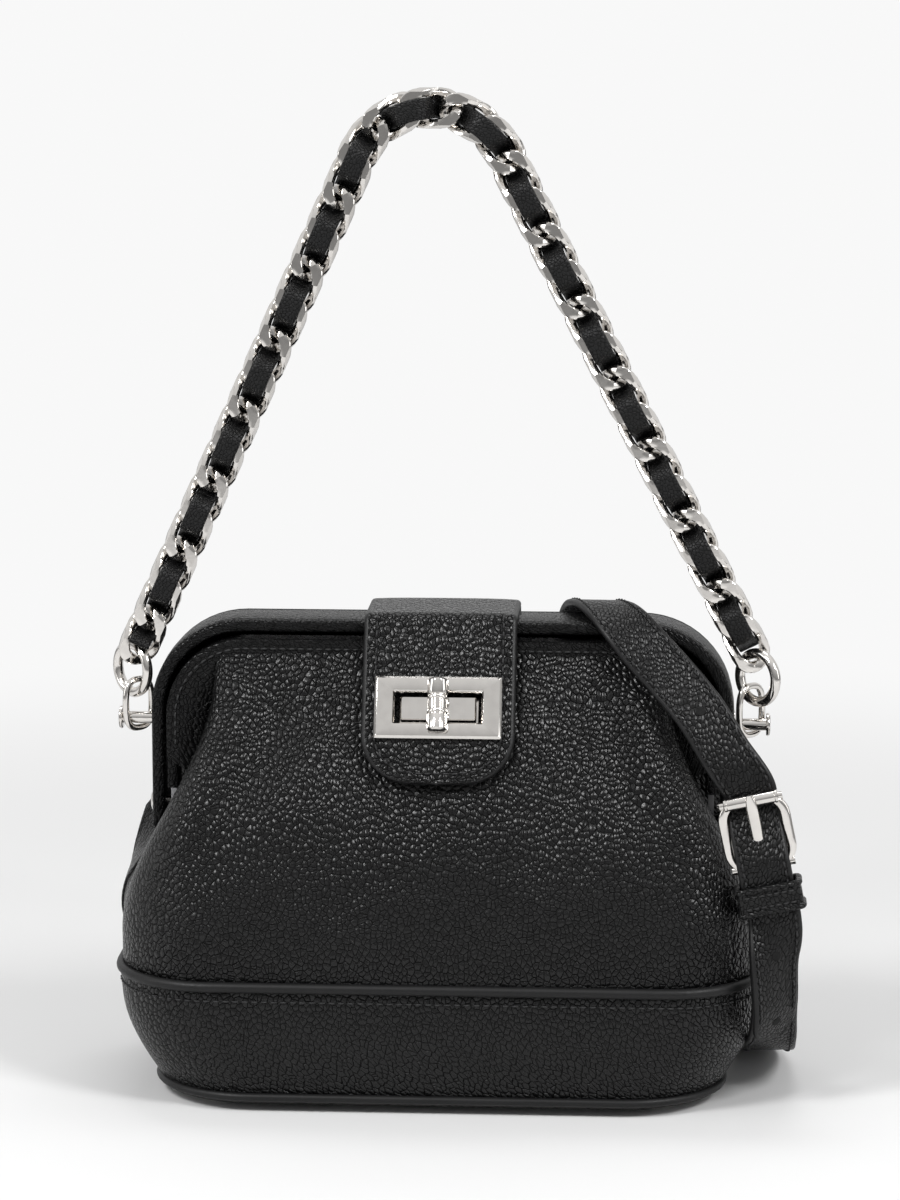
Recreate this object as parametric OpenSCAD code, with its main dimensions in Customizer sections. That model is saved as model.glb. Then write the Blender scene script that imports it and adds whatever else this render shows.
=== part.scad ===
// Small framed handbag with a chain handle, a turn-lock tab and a shoulder strap.
// Millimetres. X to the bag's left-to-right as seen from the front, front faces -Y, +Z up.
// The origin is on the ground under the middle of the bag.

/* [Body] */
// Width of the base
base_w = 184; // [175:1:195]
// Depth of the base
base_d = 92; // [86:1:98]
// Width at the piping, the widest level
waist_w = 204; // [198:1:210]
// Depth at the piping
waist_d = 98; // [94:1:102]
// Height of the piping seam above the ground
waist_z = 42; // [38:1:46]
// Height of the top of the rim
body_h = 155; // [152:1:160]
// Corner radius of the base, seen from above
corner_r = 32; // [26:1:36]
// Thickness of the outer leather
leather_t = 1.6; // [1.2:0.1:1.8]
// Thickness of the lining
lining_t = 0.8; // [0.6:0.1:1]

/* [Frames] */
// Width over the arms of the rear frame
rim_w = 190; // [186:1:194]
// Depth of the rear rim from front to back
rim_d = 22; // [20:1:24]
// Thickness of the covered rim
rim_t = 4; // [3.6:0.1:4.4]
// Corner radius of the rim
rim_r = 30; // [24:1:34]
// Depth of the covered front frame
front_rim_d = 8; // [7:0.5:9]
// Thickness of the steel bars
bar_t = 1.8; // [1.4:0.1:2]
// Distance from the top of the rim down to the frame pivots
pivot_drop = 63; // [59:1:67]

/* [Lock] */
// Width of the closing tab
tab_w = 47; // [44:1:50]
// Thickness of the tab's outer leather
tab_t = 1.6; // [1.4:0.1:1.8]
// Thickness of the tab's backing leather
tab_back_t = 1.1; // [0.9:0.1:1.3]
// Length of the tab's front below the rim, along its slope
tab_drop = 55; // [52:1:58]
// Width of the lock's front plate
plate_w = 41; // [39:1:42]
// Height of the lock's front plate
plate_h = 20.5; // [19:0.5:21]
// Length of the turning bar
knob_l = 17.5; // [16:0.5:19]
// Width of the turning bar
knob_w = 6.6; // [6:0.2:7]

/* [Chain handle] */
// Height of the crown of the chain above the rim, centre of the top link
handle_h = 165; // [155:1:175]
// Bend radius of the chain at the crown
crown_r = 26; // [25:0.5:28]
// Sideways offset of the crown
crown_shift = -4; // [-5:1:0]
// Links on each leg, beside the top link
leg_links = 16; // [16:1:16]
// Half length of a link, to the middle of its wire
link_a = 8.65; // [8.6:0.05:8.7]
// Half width of a link, to the middle of its wire
link_b = 5.4; // [5.3:0.05:5.5]
// Twist of a link out of its plane
link_c = 3.1; // [3:0.05:3.2]
// Thickness of the link wire
wire_d = 3.7; // [3.5:0.1:3.7]
// Width of the leather strip woven through the links
strip_w = 6.4; // [6:0.1:6.5]
// Thickness of the woven strip
strip_t = 1.6; // [1.2:0.1:1.8]
// Mean radius of the round rings
ring_r = 8; // [7.8:0.1:8.4]
// Thickness of the ring wire
ring_d = 3.4; // [3.2:0.1:3.4]

/* [Shoulder strap] */
// Width of the strap
strap_w = 17; // [15:0.5:17]
// Thickness of the strap, two leathers
strap_t = 2.4; // [2:0.1:2.4]
// Height of the middle of the buckle
buckle_z = 92; // [91:0.5:93]

/* [Hidden] */

black_leather = "#1c1c1e";
edge_paint = "#2a2a2c";
lining_cloth = "#2b2a2c";
nickel = "#d9d6d2";
steel_grey = "#8d8f92";
board_grey = "#55524e";

// Clearances and small overruns
gap = 0.3;
cut = 1;
pin_fit = 0.05;
pocket = 0.1;
steps_round = 48;

// Base build-up
foot_h = 2.4;
foot_r = 4.5;
foot_x_share = 0.39;
foot_y_share = 0.34;
panel_t = 2.2;
board_t = 2;
base_piping_r = 1.5;
waist_piping_r = 1.5;
base_z = foot_h + panel_t;
ring_points = 6;

// The body above the piping
rim_gap = 2;
top_z = body_h - rim_t - rim_gap;
pivot_z = body_h - pivot_drop;
front_top_y = 12;
panel_set_back = 1;
rear_top_y = 13.2;
crease_top_w = 148;
rear_top_w = 160;
gusset_top_share = 0.92;
crease_r_top = 7;
crease_gap = 0.5;
fold_in = 12;
fold_start_share = 0.5;
crease_shares = [0.12, 0.87];
rear_shares = [0.17, 1];
split_below = 1.5;
upper_split_z = pivot_z - split_below;
tuck = 2.1;
tuck_h = 13;
tuck_lap = 1.2;
lining_top_z = 60;
rear_lining_top_z = 138;

// Frames
arm_gap = 1;
arm_below = 9;
front_frame_w = rim_w - 2 * rim_t - 2 * arm_gap;
front_frame_top = body_h - rim_t - rim_gap;
front_frame_r = rim_r - rim_t;
front_frame_y = -front_top_y;
arm_bottom = pivot_z - arm_below;
ear_r = 6.5;
rear_ear_r = 5.5;
bar_d = 4;
rear_bar_d = 10;
rear_bar_inset = 2;
rivet_r = 1.6;
rivet_head_r = 4;
rivet_tail_r = 3;
rivet_head_h = 1.8;
cover_arm_gap = 2;

// Tab and lock. Distances are measured square to the tab's slope, from the panel under the lock.
lock_drop = 27.5;
lock_z = body_h - lock_drop;
lock_y = front_y(lock_z);
tab_off = 2.3;
tab_off_share = 1.1;
tab_rim_gap = 1.2;
// The tab is drawn tight from the front edge of the rim to the lock
tab_lean = atan((-rim_d / 2 - tab_rim_gap - lock_y + tab_off_share * tab_off) / (body_h - lock_z));
tab_top_gap = 0.5;
tab_end_r = 16;
tab_root_gap = 0.9;
tab_hinge_y = rear_top_y + tab_root_gap - gap / 2;
tab_root_len = 26;
plate_t = 2.2;
plate_bevel = 0.7;
slot_w = 28;
slot_h = 10;
slot_margin = 0.5;
clamp_inset = 1;
clamp_t = 0.6;
base_plate_w = 25.5;
base_plate_h = 8.4;
base_plate_t = 1;
washer_w = 22;
washer_h = 14;
washer_t = 0.8;
washer_gap = 1;
post_r = 2.2;
knob_gap = 0.4;
knob_depth = 4.4;
knob_root = 1;

// Chain
wire_sides = 6;
link_steps = 16;
strip_gap = 0.35;
strip_cut = 0.2;
crown_z = body_h + handle_h;
post_drop = 35;
post_z = body_h - post_drop;
side_post_r = 2;
post_reach = 12.1;
post_head_r = 3.8;
post_head_h = 1.4;
washer_disc_r = 4.6;
washer_disc_t = 0.6;
ring_drop = 19;
ring_z = body_h - ring_drop;
ring_turn = -45;
ring_out = 3;
loop_r = 1.1;
loop_half_w = 5.3;
loop_square = 0.7;
loop_half_h = 8.1;
loop_reach = 5.6;
loop_x = rim_w / 2 + loop_reach;
ring_x = loop_x + ring_out * cos(ring_turn);
ring_y = ring_out * sin(ring_turn);
loop_z = post_z - side_post_r - loop_r - gap + loop_half_h;
loop_steps = 18;
loop_sides = 8;
ring_seat = 0.6;
leg_ends = [3, 6, 9, 12];

// Shoulder strap
strap_ring_drop = 59;
strap_ring_z = body_h - strap_ring_drop;
strap_hang = 12;
strap_ring_x = 78;
strap_ring_h = 9;
strap_ring_wire = 2.4;
strap_ring_w = strap_w + strap_ring_wire + 2 * gap;
strap_ring_reach = 4;
strap_ring_tilt = 17;
ring_tab_w = 16;
ring_tab_h = 14;
ring_tab_t = 1.6;
buckle_x = 102.6;
buckle_y = -36.2;
buckle_tilt = 12;
buckle_w = 24;
buckle_h = 25;
buckle_t = 2.2;
buckle_rim = 2.8;
buckle_r = 6;
bar_r = 1.3;
bar_inset = 0.4;
roller_r = 2.2;
prong_r = 1.2;
prong_eye_r = 2.6;
keeper_z = -20.5;
keeper_h = 9;
keeper_t = 1.6;
strap_steps = 4;

// Points of a rounded rectangle, counter-clockwise, as [x, y]
function rounded(w, d, r, n = ring_points) = [
    for (c = [0:3])
        for (i = [0:n - 1])
            let (
                a = c * 90 + i * 90 / (n - 1),
                cx = (c == 0 || c == 3 ? 1 : -1) * (w / 2 - r),
                cy = (c < 2 ? 1 : -1) * (d / 2 - r)
            )
            [cx + r * cos(a), cy + r * sin(a)]
];

function lift(points, z) = [for (p = points) [p.x, p.y, z]];

function flat(rows) = [for (row = rows) for (p = row) p];

// Closed strip of triangles between rings i and i + 1 of n points each
function band_faces(i, j, n, flip = false) = [
    for (k = [0:n - 1])
        let (
            a = i * n + k,
            b = i * n + (k + 1) % n,
            c = j * n + (k + 1) % n,
            d = j * n + k
        )
        each (flip ? [[a, c, b], [a, d, c]] : [[a, b, c], [a, c, d]])
];

// Tube wall: outer rings from the bottom up, then inner rings from the top down, closed round
module wall(outer_rings, inner_rings) {
    n = len(outer_rings[0]);
    rings = concat(outer_rings, [for (i = [len(inner_rings) - 1:-1:0]) inner_rings[i]]);
    m = len(rings);
    polyhedron(
        points = flat(rings),
        faces = [for (i = [0:m - 1]) each band_faces(i, (i + 1) % m, n, true)],
        convexity = 6
    );
}

// Sheet between two grids of points with the same rows and columns
module sheet(front, back) {
    rows = len(front);
    cols = len(front[0]);
    total = rows * cols;
    points = concat(flat(front), flat(back));
    quads = [for (i = [0:rows - 2]) for (j = [0:cols - 2]) [i * cols + j, i * cols + j + 1,
        (i + 1) * cols + j + 1, (i + 1) * cols + j]];
    front_faces = [for (q = quads) each [[q[0], q[2], q[1]], [q[0], q[3], q[2]]]];
    back_faces = [for (q = quads) each [[q[0] + total, q[1] + total, q[2] + total],
        [q[0] + total, q[2] + total, q[3] + total]]];
    rim = concat(
        [for (j = [0:cols - 2]) [j, j + 1]],
        [for (i = [0:rows - 2]) [i * cols + cols - 1, (i + 1) * cols + cols - 1]],
        [for (j = [cols - 1:-1:1]) [(rows - 1) * cols + j, (rows - 1) * cols + j - 1]],
        [for (i = [rows - 1:-1:1]) [i * cols, (i - 1) * cols]]
    );
    rim_faces = [for (e = rim) each [[e[0], e[1] + total, e[0] + total], [e[0], e[1], e[1] + total]]];
    polyhedron(points = points, faces = concat(front_faces, back_faces, rim_faces), convexity = 8);
}

// Round bar along closed centre points, each with its own two cross directions
module closed_bar(centres, sides_a, sides_b, r, n) {
    m = len(centres);
    points = [for (i = [0:m - 1]) for (k = [0:n - 1])
        centres[i] + r * cos(360 * k / n) * sides_a[i] + r * sin(360 * k / n) * sides_b[i]];
    polyhedron(
        points = points,
        faces = [for (i = [0:m - 1]) each band_faces(i, (i + 1) % m, n)],
        convexity = 8
    );
}

function unit(v) = v / norm(v);

// Shape of the body between the piping and the frames. v runs from 0 at the piping to 1 at the top.
function level(z) = min(1, (z - waist_z) / (top_z - waist_z));
function front_y(z) = -(front_top_y - panel_set_back
    + (waist_d / 2 - front_top_y + panel_set_back) * cos(90 * level(z)));
function rear_y(z) = rear_top_y + (waist_d / 2 - rear_top_y) * cos(90 * level(z));
// The front panel's top corners follow the inside of the rounded front frame
frame_corner_z = front_frame_top - front_frame_r;
frame_in_r = front_frame_r - rim_t;
function frame_in(z) = front_frame_w / 2 - rim_t - frame_in_r
    + sqrt(max(0, frame_in_r * frame_in_r - pow(z - frame_corner_z, 2)));
function eased(v, shares) = let (t = max(0, min(1, (v - shares[0]) / (shares[1] - shares[0])))) t * t * (3 - 2 * t);
function free_crease_w(z) = waist_w + (crease_top_w - waist_w) * eased(level(z), crease_shares);
function crease_w(z) = z < frame_corner_z ? free_crease_w(z)
    : min(free_crease_w(z), 2 * (frame_in(z) - crease_gap));
// The rear panel's top corners follow the inside of the rounded rim
rim_corner_z = body_h - rim_r;
rim_in_r = rim_r - rim_t;
function rim_in(z) = rim_w / 2 - rim_t - rim_in_r + sqrt(max(0, rim_in_r * rim_in_r - pow(z - rim_corner_z, 2)));
function free_rear_w(z) = waist_w + (rear_top_w - waist_w) * eased(level(z), rear_shares);
function rear_w(z) = z < rim_corner_z ? free_rear_w(z)
    : min(free_rear_w(z), 2 * (rim_in(z) - crease_gap));
function crease_r(z) = corner_r + (crease_r_top - corner_r) * level(z);
function fold(z) = fold_in * sin(90 * min(1, max(0, level(z)) / fold_start_share));

// A point of a panel that turns round its side corners, u from -1 to 1 across, inset by t
function panel_point(u, z, y, w, r, t, s) =
    let (
        half = w / 2 - t,
        rr = r - t,
        turn = 90 * max(0, abs(u) - flat_share) / (1 - flat_share),
        x = abs(u) < flat_share ? (half - rr) * abs(u) / flat_share : half - rr + rr * sin(turn),
        inward = t + rr * (1 - cos(turn))
    )
    [sign(u) * x, y + s * inward, z];

flat_share = 0.6;
panel_columns = 16;
panel_rows = 8;

function tuck_in(z) = tuck * max(0, 1 - max(0, z - upper_split_z) / tuck_h);

// Grid of one panel face between two heights
function front_grid(z0, z1, t, tucked, rows = panel_rows) = [
    for (i = [0:rows])
        let (z = z0 + (z1 - z0) * i / rows, k = t + (tucked ? tuck_in(z) : 0))
        [for (j = [0:panel_columns]) panel_point(-1 + 2 * j / panel_columns, z, front_y(z), crease_w(z),
            crease_r(z), k, 1)]
];
function rear_grid(z0, z1, t, rows = panel_rows) = [
    for (i = [0:rows])
        let (z = z0 + (z1 - z0) * i / rows)
        [for (j = [0:panel_columns]) panel_point(-1 + 2 * j / panel_columns, z, rear_y(z), rear_w(z),
            crease_r(z), t, -1)]
];

gusset_columns = 8;
gusset_gap = 0.3;

// Side wall between the front and rear creases, folded inwards
function gusset_grid(z0, z1, t, side, rows = panel_rows) = [
    for (i = [0:rows])
        let (
            z = z0 + (z1 - z0) * i / rows,
            y0 = front_y(z) + crease_r(z) + gusset_gap,
            y1 = rear_y(z) - crease_r(z) - gusset_gap
        )
        [for (j = [0:gusset_columns])
            let (
                s = j / gusset_columns,
                x = (crease_w(z) * (1 - s) + rear_w(z) * s) / 2 - fold(z) * sin(180 * s) - t
            )
            [side * x, y0 + (y1 - y0) * s, z]]
];

module base_panel() {
    color(black_leather)
    translate([0, 0, foot_h])
    linear_extrude(panel_t)
    polygon(rounded(base_w, base_d, corner_r));
}

module base_board() {
    side = 2 * (leather_t + lining_t);
    color(board_grey)
    translate([0, 0, base_z])
    linear_extrude(board_t)
    polygon(rounded(base_w - side, base_d - side, corner_r - side / 2));
}

module base_feet() {
    color(nickel)
    for (x = [-1, 1], y = [-1, 1])
        translate([x * base_w * foot_x_share, y * base_d * foot_y_share, 0])
        cylinder(r = foot_r, h = foot_h, $fn = steps_round);
}

// Bead round the bag at one level
module bead(w, d, r, z, bead_r) {
    n = ring_points + 2;
    outer = rounded(w + bead_r, d + bead_r, r + bead_r / 2, n);
    inner = rounded(w - bead_r, d - bead_r, r - bead_r / 2, n);
    wall([lift(outer, z - bead_r), lift(outer, z + bead_r)],
        [lift(inner, z - bead_r), lift(inner, z + bead_r)]);
}

module base_piping() {
    out = base_piping_r + 2 * gap;
    color(edge_paint)
    bead(base_w + out, base_d + out, corner_r + out / 2, base_z, base_piping_r);
}

module base_band() {
    low = base_z + base_piping_r + gap;
    high = waist_z - waist_piping_r - gap;
    function part(z) = (z - base_z) / (waist_z - base_z);
    function ring(z, t) = lift(rounded(
        base_w + (waist_w - base_w) * sin(90 * part(z)) - 2 * t,
        base_d + (waist_d - base_d) * sin(90 * part(z)) - 2 * t,
        corner_r - t), z);
    levels = 3;
    zs = [for (i = [0:levels]) low + (high - low) * i / levels];
    color(black_leather)
    wall([for (z = zs) ring(z, 0)], [for (z = zs) ring(z, leather_t)]);
}

module waist_piping() {
    color(edge_paint)
    bead(waist_w, waist_d, corner_r, waist_z, waist_piping_r);
}

module front_panel_lower() {
    low = waist_z + waist_piping_r + gap;
    color(black_leather)
    sheet(front_grid(low, upper_split_z, 0, false), front_grid(low, upper_split_z, leather_t, false));
}

module front_panel_upper() {
    low = upper_split_z - tuck_lap;
    high = front_frame_top - rim_t - gap;
    color(black_leather)
    sheet(front_grid(low, high, 0, true), front_grid(low, high, leather_t, true));
}

module front_lining_upper() {
    low = upper_split_z + tuck_lap;
    high = front_frame_top - rim_t - gap;
    out = leather_t + gap;
    color(lining_cloth)
    sheet(front_grid(low, high, out, true), front_grid(low, high, out + lining_t, true));
}

module rear_panel() {
    low = waist_z + waist_piping_r + gap;
    high = body_h - rim_t - gap;
    color(black_leather)
    sheet(rear_grid(low, high, leather_t), rear_grid(low, high, 0));
}

module rear_lining() {
    out = leather_t + gap;
    color(lining_cloth)
    sheet(rear_grid(lining_top_z + gap, rear_lining_top_z, out + lining_t),
        rear_grid(lining_top_z + gap, rear_lining_top_z, out));
}

module gusset(side) {
    low = waist_z + waist_piping_r + gap;
    high = waist_z + (top_z - waist_z) * gusset_top_share;
    color(black_leather)
    if (side > 0)
        sheet(gusset_grid(low, high, 0, side), gusset_grid(low, high, leather_t, side));
    else
        sheet(gusset_grid(low, high, leather_t, side), gusset_grid(low, high, 0, side));
}

module left_gusset() {
    gusset(-1);
}

module right_gusset() {
    gusset(1);
}

// One cloth ring round the inside, with its floor over the board
module bag_lining() {
    out = leather_t + gap;
    low = base_z + board_t + gap;
    levels = 4;
    zs = [for (i = [0:levels]) low + (lining_top_z - low) * i / levels];
    // The inside narrows to the base below the piping and follows the folded gussets above it
    function w(z) = z < waist_z ? base_w + (waist_w - base_w) * sin(90 * (z - base_z) / (waist_z - base_z))
        : crease_w(z) - 2 * fold(z);
    function d(z) = z < waist_z ? base_d + (waist_d - base_d) * sin(90 * (z - base_z) / (waist_z - base_z))
        : -2 * front_y(z);
    function ring(z, t) = lift(rounded(w(z) - 2 * t, d(z) - 2 * t, corner_r - t), z);
    color(lining_cloth)
    union() {
        wall([for (z = zs) ring(z, out)], [for (z = zs) ring(z, out + lining_t)]);
        translate([0, 0, low])
        linear_extrude(lining_t)
        polygon([for (p = ring(low, out + lining_t / 2)) [p.x, p.y]]);
    }
}

// Upside-down U in the XZ plane
module u_shape(w, top, bottom, r, t) {
    difference() {
        round_top(w, top, bottom, r);
        round_top(w - 2 * t, top - t, bottom - cut, r - t);
    }
}

module round_top(w, top, bottom, r) {
    intersection() {
        translate([-w / 2, bottom])
        square([w, top - bottom]);
        union() {
            translate([-w / 2, bottom])
            square([w, top - r - bottom]);
            translate([-w / 2 + r, bottom])
            square([w - 2 * r, top - bottom]);
            for (x = [-1, 1])
                translate([x * (w / 2 - r), top - r])
                circle(r = r, $fn = 2 * steps_round);
        }
    }
}

// Extrudes an XZ drawing from y0 to y1
module between_y(y0, y1) {
    translate([0, y1, 0])
    rotate([90, 0, 0])
    linear_extrude(y1 - y0)
    children();
}

module at_pivot(x, l, r) {
    translate([x, 0, pivot_z])
    rotate([0, 90, 0])
    cylinder(r = r, h = l, center = true, $fn = steps_round);
}

rear_bar_off = (rim_t - bar_t) / 2;
rear_bar_y = rim_d / 2 - rear_bar_inset;

module rear_bar_shape(extra) {
    between_y(rear_bar_y - rear_bar_d - extra, rear_bar_y + extra)
    u_shape(rim_w - 2 * rear_bar_off + 2 * extra, body_h - rear_bar_off + extra,
        arm_bottom + rear_bar_inset - extra, rim_r - rear_bar_off + extra, bar_t + 2 * extra);
}

module rear_frame_bar() {
    color(steel_grey)
    difference() {
        union() {
            rear_bar_shape(0);
            for (x = [-1, 1])
                at_pivot(x * (rim_w / 2 - rim_t / 2), bar_t, rear_ear_r);
        }
        at_pivot(0, rim_w + cut, rivet_r + pin_fit);
        post_holes();
    }
}

module post_holes() {
    for (x = [-1, 1])
        translate([x * rim_w / 2, 0, post_z])
        rotate([0, 90, 0])
        cylinder(r = side_post_r, h = 2 * rim_t + cut, center = true, $fn = steps_round);
}

module rear_frame_cover() {
    color(black_leather)
    difference() {
        between_y(-rim_d / 2, rim_d / 2)
        u_shape(rim_w, body_h, arm_bottom, rim_r, rim_t);
        rear_bar_shape(pocket);
        for (x = [-1, 1])
            at_pivot(x * (rim_w / 2 - rim_t / 2), bar_t + 2 * pocket, rear_ear_r + pocket);
        at_pivot(0, rim_w + cut, rivet_r + pin_fit);
        post_holes();
    }
}

module hinge_rivets() {
    inner = front_frame_w / 2 - rim_t;
    color(nickel)
    for (x = [-1, 1]) {
        translate([x * (inner + rim_w / 2) / 2, 0, pivot_z])
        rotate([0, 90, 0])
        cylinder(r = rivet_r, h = rim_w / 2 - inner + cut, center = true, $fn = steps_round);
        translate([x * (rim_w / 2 + rivet_head_h / 2), 0, pivot_z])
        rotate([0, 90, 0])
        cylinder(r = rivet_head_r, h = rivet_head_h, center = true, $fn = steps_round);
        translate([x * (inner - rivet_head_h / 2), 0, pivot_z])
        rotate([0, 90, 0])
        cylinder(r = rivet_tail_r, h = rivet_head_h, center = true, $fn = steps_round);
    }
}

// Steel front frame: a flat bar bent to a U, with an eye at each foot
ear_x = front_frame_w / 2 - rim_t / 2;
front_bar_off = (rim_t - bar_t) / 2;
front_bar_y = front_frame_y + (front_rim_d - bar_d) / 2;

module front_bar_shape(extra) {
    between_y(front_bar_y - extra, front_bar_y + bar_d + extra)
    u_shape(front_frame_w - 2 * front_bar_off + 2 * extra, front_frame_top - front_bar_off + extra,
        pivot_z, front_frame_r - front_bar_off + extra, bar_t + 2 * extra);
}

module front_frame_bar() {
    color(steel_grey)
    difference() {
        union() {
            front_bar_shape(0);
            for (x = [-1, 1])
                at_pivot(x * ear_x, bar_t, ear_r);
            for (x = [-1, 1])
                translate([x * ear_x, front_bar_y / 2, pivot_z + ear_r / 4])
                cube([bar_t, -front_bar_y, ear_r + ear_r / 2], center = true);
        }
        at_pivot(0, rim_w + cut, rivet_r + pin_fit);
    }
}

module front_frame_cover() {
    low = pivot_z + ear_r + cover_arm_gap;
    color(black_leather)
    difference() {
        between_y(front_frame_y, front_frame_y + front_rim_d)
        u_shape(front_frame_w, front_frame_top, low, front_frame_r, rim_t);
        front_bar_shape(pocket);
    }
}

// Places a drawing on the tab's slope: X across, Y up the slope, Z outwards
module on_slope(off) {
    translate([0, lock_y, lock_z])
    rotate([90 - tab_lean, 0, 0])
    translate([0, 0, off])
    children();
}

// Height along the slope where it meets the level of the tab's top
slope_top = (body_h - lock_z) / cos(tab_lean);
tab_low = slope_top - tab_drop;

module tab_outline() {
    union() {
        translate([-tab_w / 2, tab_low + tab_end_r])
        square([tab_w, 3 * tab_drop]);
        translate([-tab_w / 2 + tab_end_r, tab_low])
        square([tab_w - 2 * tab_end_r, tab_drop]);
        for (x = [-1, 1])
            translate([x * (tab_w / 2 - tab_end_r), tab_low + tab_end_r])
            circle(r = tab_end_r, $fn = 2 * steps_round);
    }
}

// Points [y, z] on the tab's slope: o outwards from the panel, at distance l up the slope or at height h
function slope_point(o, l) = [lock_y - o * cos(tab_lean) + l * sin(tab_lean),
    lock_z + o * sin(tab_lean) + l * cos(tab_lean)];
function slope_at(o, h) = slope_point(o, (h - lock_z - o * sin(tab_lean)) / cos(tab_lean));

// Layer of the tab: a slope in front and a flat run over the rim, between two offsets
module tab_layer(inner_off, t) {
    outer_off = inner_off + t;
    low = body_h + tab_top_gap + inner_off - tab_off;
    profile = [
        slope_point(inner_off, tab_low - cut),
        slope_at(inner_off, low),
        [tab_hinge_y, low],
        [tab_hinge_y, low + t],
        slope_at(outer_off, low + t),
        slope_point(outer_off, tab_low - cut)
    ];
    difference() {
        intersection() {
            rotate([90, 0, 90])
            linear_extrude(tab_w + 2 * cut, center = true)
            polygon(profile);
            on_slope(-2 * tab_drop)
            linear_extrude(3 * tab_drop)
            tab_outline();
        }
        on_slope(0)
        linear_extrude(tab_drop)
        square([slot_w + 2 * slot_margin, slot_h + 2 * slot_margin], center = true);
    }
}

module closing_tab() {
    color(black_leather)
    tab_layer(tab_off + tab_back_t, tab_t);
}

module tab_backing() {
    color(edge_paint)
    tab_layer(tab_off, tab_back_t);
}

// Rear end of the tab, sewn to the back of the rim
module tab_root() {
    top = body_h + tab_top_gap + tab_back_t + tab_t;
    rows = 6;
    function at(z, t) = [z, rear_y(z) + tab_root_gap + t];
    function grid(t) = [for (i = [0:rows])
        let (p = at(top - tab_root_len + tab_root_len * i / rows, t))
        [for (x = [-1, 0, 1]) [x * tab_w / 2, p[1], p[0]]]];
    color(black_leather)
    sheet(grid(0), grid(tab_t + tab_back_t));
}

tab_face = tab_off + tab_back_t + tab_t;

module lock_front_plate() {
    color(nickel)
    difference() {
        on_slope(tab_face)
        union() {
            linear_extrude(plate_t - plate_bevel)
            square([plate_w, plate_h], center = true);
            linear_extrude(plate_t)
            square([plate_w - 2 * plate_bevel, plate_h - 2 * plate_bevel], center = true);
        }
        on_slope(0)
        linear_extrude(4 * tab_face)
        square([slot_w, slot_h], center = true);
    }
}

module lock_clamp_plate() {
    color(nickel)
    difference() {
        on_slope(tab_off - clamp_t)
        linear_extrude(clamp_t)
        square([plate_w - 2 * clamp_inset, plate_h - 2 * clamp_inset], center = true);
        on_slope(0)
        linear_extrude(4 * tab_face)
        square([slot_w + 2 * slot_margin, slot_h + 2 * slot_margin], center = true);
    }
}

module lock_base_plate() {
    color(nickel)
    difference() {
        on_slope(gap)
        linear_extrude(base_plate_t)
        square([base_plate_w, base_plate_h], center = true);
        on_slope(0)
        cylinder(r = post_r + pin_fit, h = 4 * base_plate_t, center = true, $fn = steps_round);
    }
}

module lock_back_washer() {
    color(nickel)
    difference() {
        on_slope(-leather_t - lining_t - washer_gap - washer_t)
        linear_extrude(washer_t)
        square([washer_w, washer_h], center = true);
        on_slope(0)
        cylinder(r = post_r + pin_fit, h = 4 * tab_face, center = true, $fn = steps_round);
    }
}

module turn_knob() {
    face = tab_face + plate_t + knob_gap;
    color(nickel)
    on_slope(0)
    union() {
        translate([0, 0, gap])
        cylinder(r = post_r, h = face + knob_root - gap, $fn = steps_round);
        translate([0, 0, face + knob_depth / 2])
        rotate([90, 0, 0])
        linear_extrude(knob_l, center = true)
        difference() {
            circle(r = knob_w / 2, $fn = steps_round);
            translate([-knob_w, knob_depth / 2])
            square([2 * knob_w, knob_w]);
            translate([-knob_w, -knob_depth / 2 - knob_w])
            square([2 * knob_w, knob_w]);
        }
    }
}

// Chain route: a circle at the crown and two straight legs, leaned sideways by the crown's offset
seat_step = link_a - wire_d / 2 - ring_d / 2 - ring_seat;
leg_guess = 25.4;
seat_z = ring_z + sqrt(ring_r * ring_r - ring_out * ring_out);
leg_start_x = loop_x - seat_step * sin(leg_guess);
leg_start_z = seat_z + seat_step * cos(leg_guess);
reach_x = leg_start_x;
reach_z = crown_z - crown_r - leg_start_z;
reach = norm([reach_x, reach_z]);
touch_angle = acos(crown_r / reach) - atan2(reach_z, reach_x);
arc_len = crown_r * (90 - touch_angle) * PI / 180;
leg_len = sqrt(reach * reach - crown_r * crown_r);
pitch = (arc_len + leg_len) / leg_links;

// Point of the route at distance s from the crown, positive to the right
function route(s) =
    let (
        d = abs(s),
        a = d / crown_r * 180 / PI,
        on_arc = [crown_r * sin(a), crown_z - crown_r + crown_r * cos(a)],
        touch = [crown_r * cos(touch_angle), crown_z - crown_r + crown_r * sin(touch_angle)],
        along = [sin(touch_angle), -cos(touch_angle)],
        p = d < arc_len ? on_arc : touch + (d - arc_len) * along,
        shift = crown_shift * (p[1] - leg_start_z) / (crown_z - leg_start_z)
    )
    [sign(s) * p[0] + shift, 0, p[1]];

// Middle and direction of link i, counted from the ring on each leg, with leg_links + 1 at the crown
function link_s(i, side) = side * (leg_links + 1 - i) * pitch;
function link_dir(i, side) = unit(route(link_s(i, side) + pitch / 2) - route(link_s(i, side) - pitch / 2));

// Link wire as a twisted oval
module link(i, side) {
    c = route(link_s(i, side));
    u = link_dir(i, side);
    v = [-u.z, 0, u.x];
    w = [0, 1, 0];
    ts = [for (k = [0:link_steps - 1]) 360 * k / link_steps];
    centres = [for (t = ts) c + link_a * cos(t) * u + link_b * sin(t) * v + link_c * sin(2 * t) * w];
    tangents = [for (t = ts) unit(-link_a * sin(t) * u + link_b * cos(t) * v + 2 * link_c * cos(2 * t) * w)];
    outs = [for (t = ts) unit(link_b * cos(t) * u + link_a * sin(t) * v)];
    side_a = [for (k = [0:link_steps - 1]) unit(outs[k] - (outs[k] * tangents[k]) * tangents[k])];
    side_b = [for (k = [0:link_steps - 1]) cross(tangents[k], side_a[k])];
    closed_bar(centres, side_a, side_b, wire_d / 2, wire_sides);
}

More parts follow.
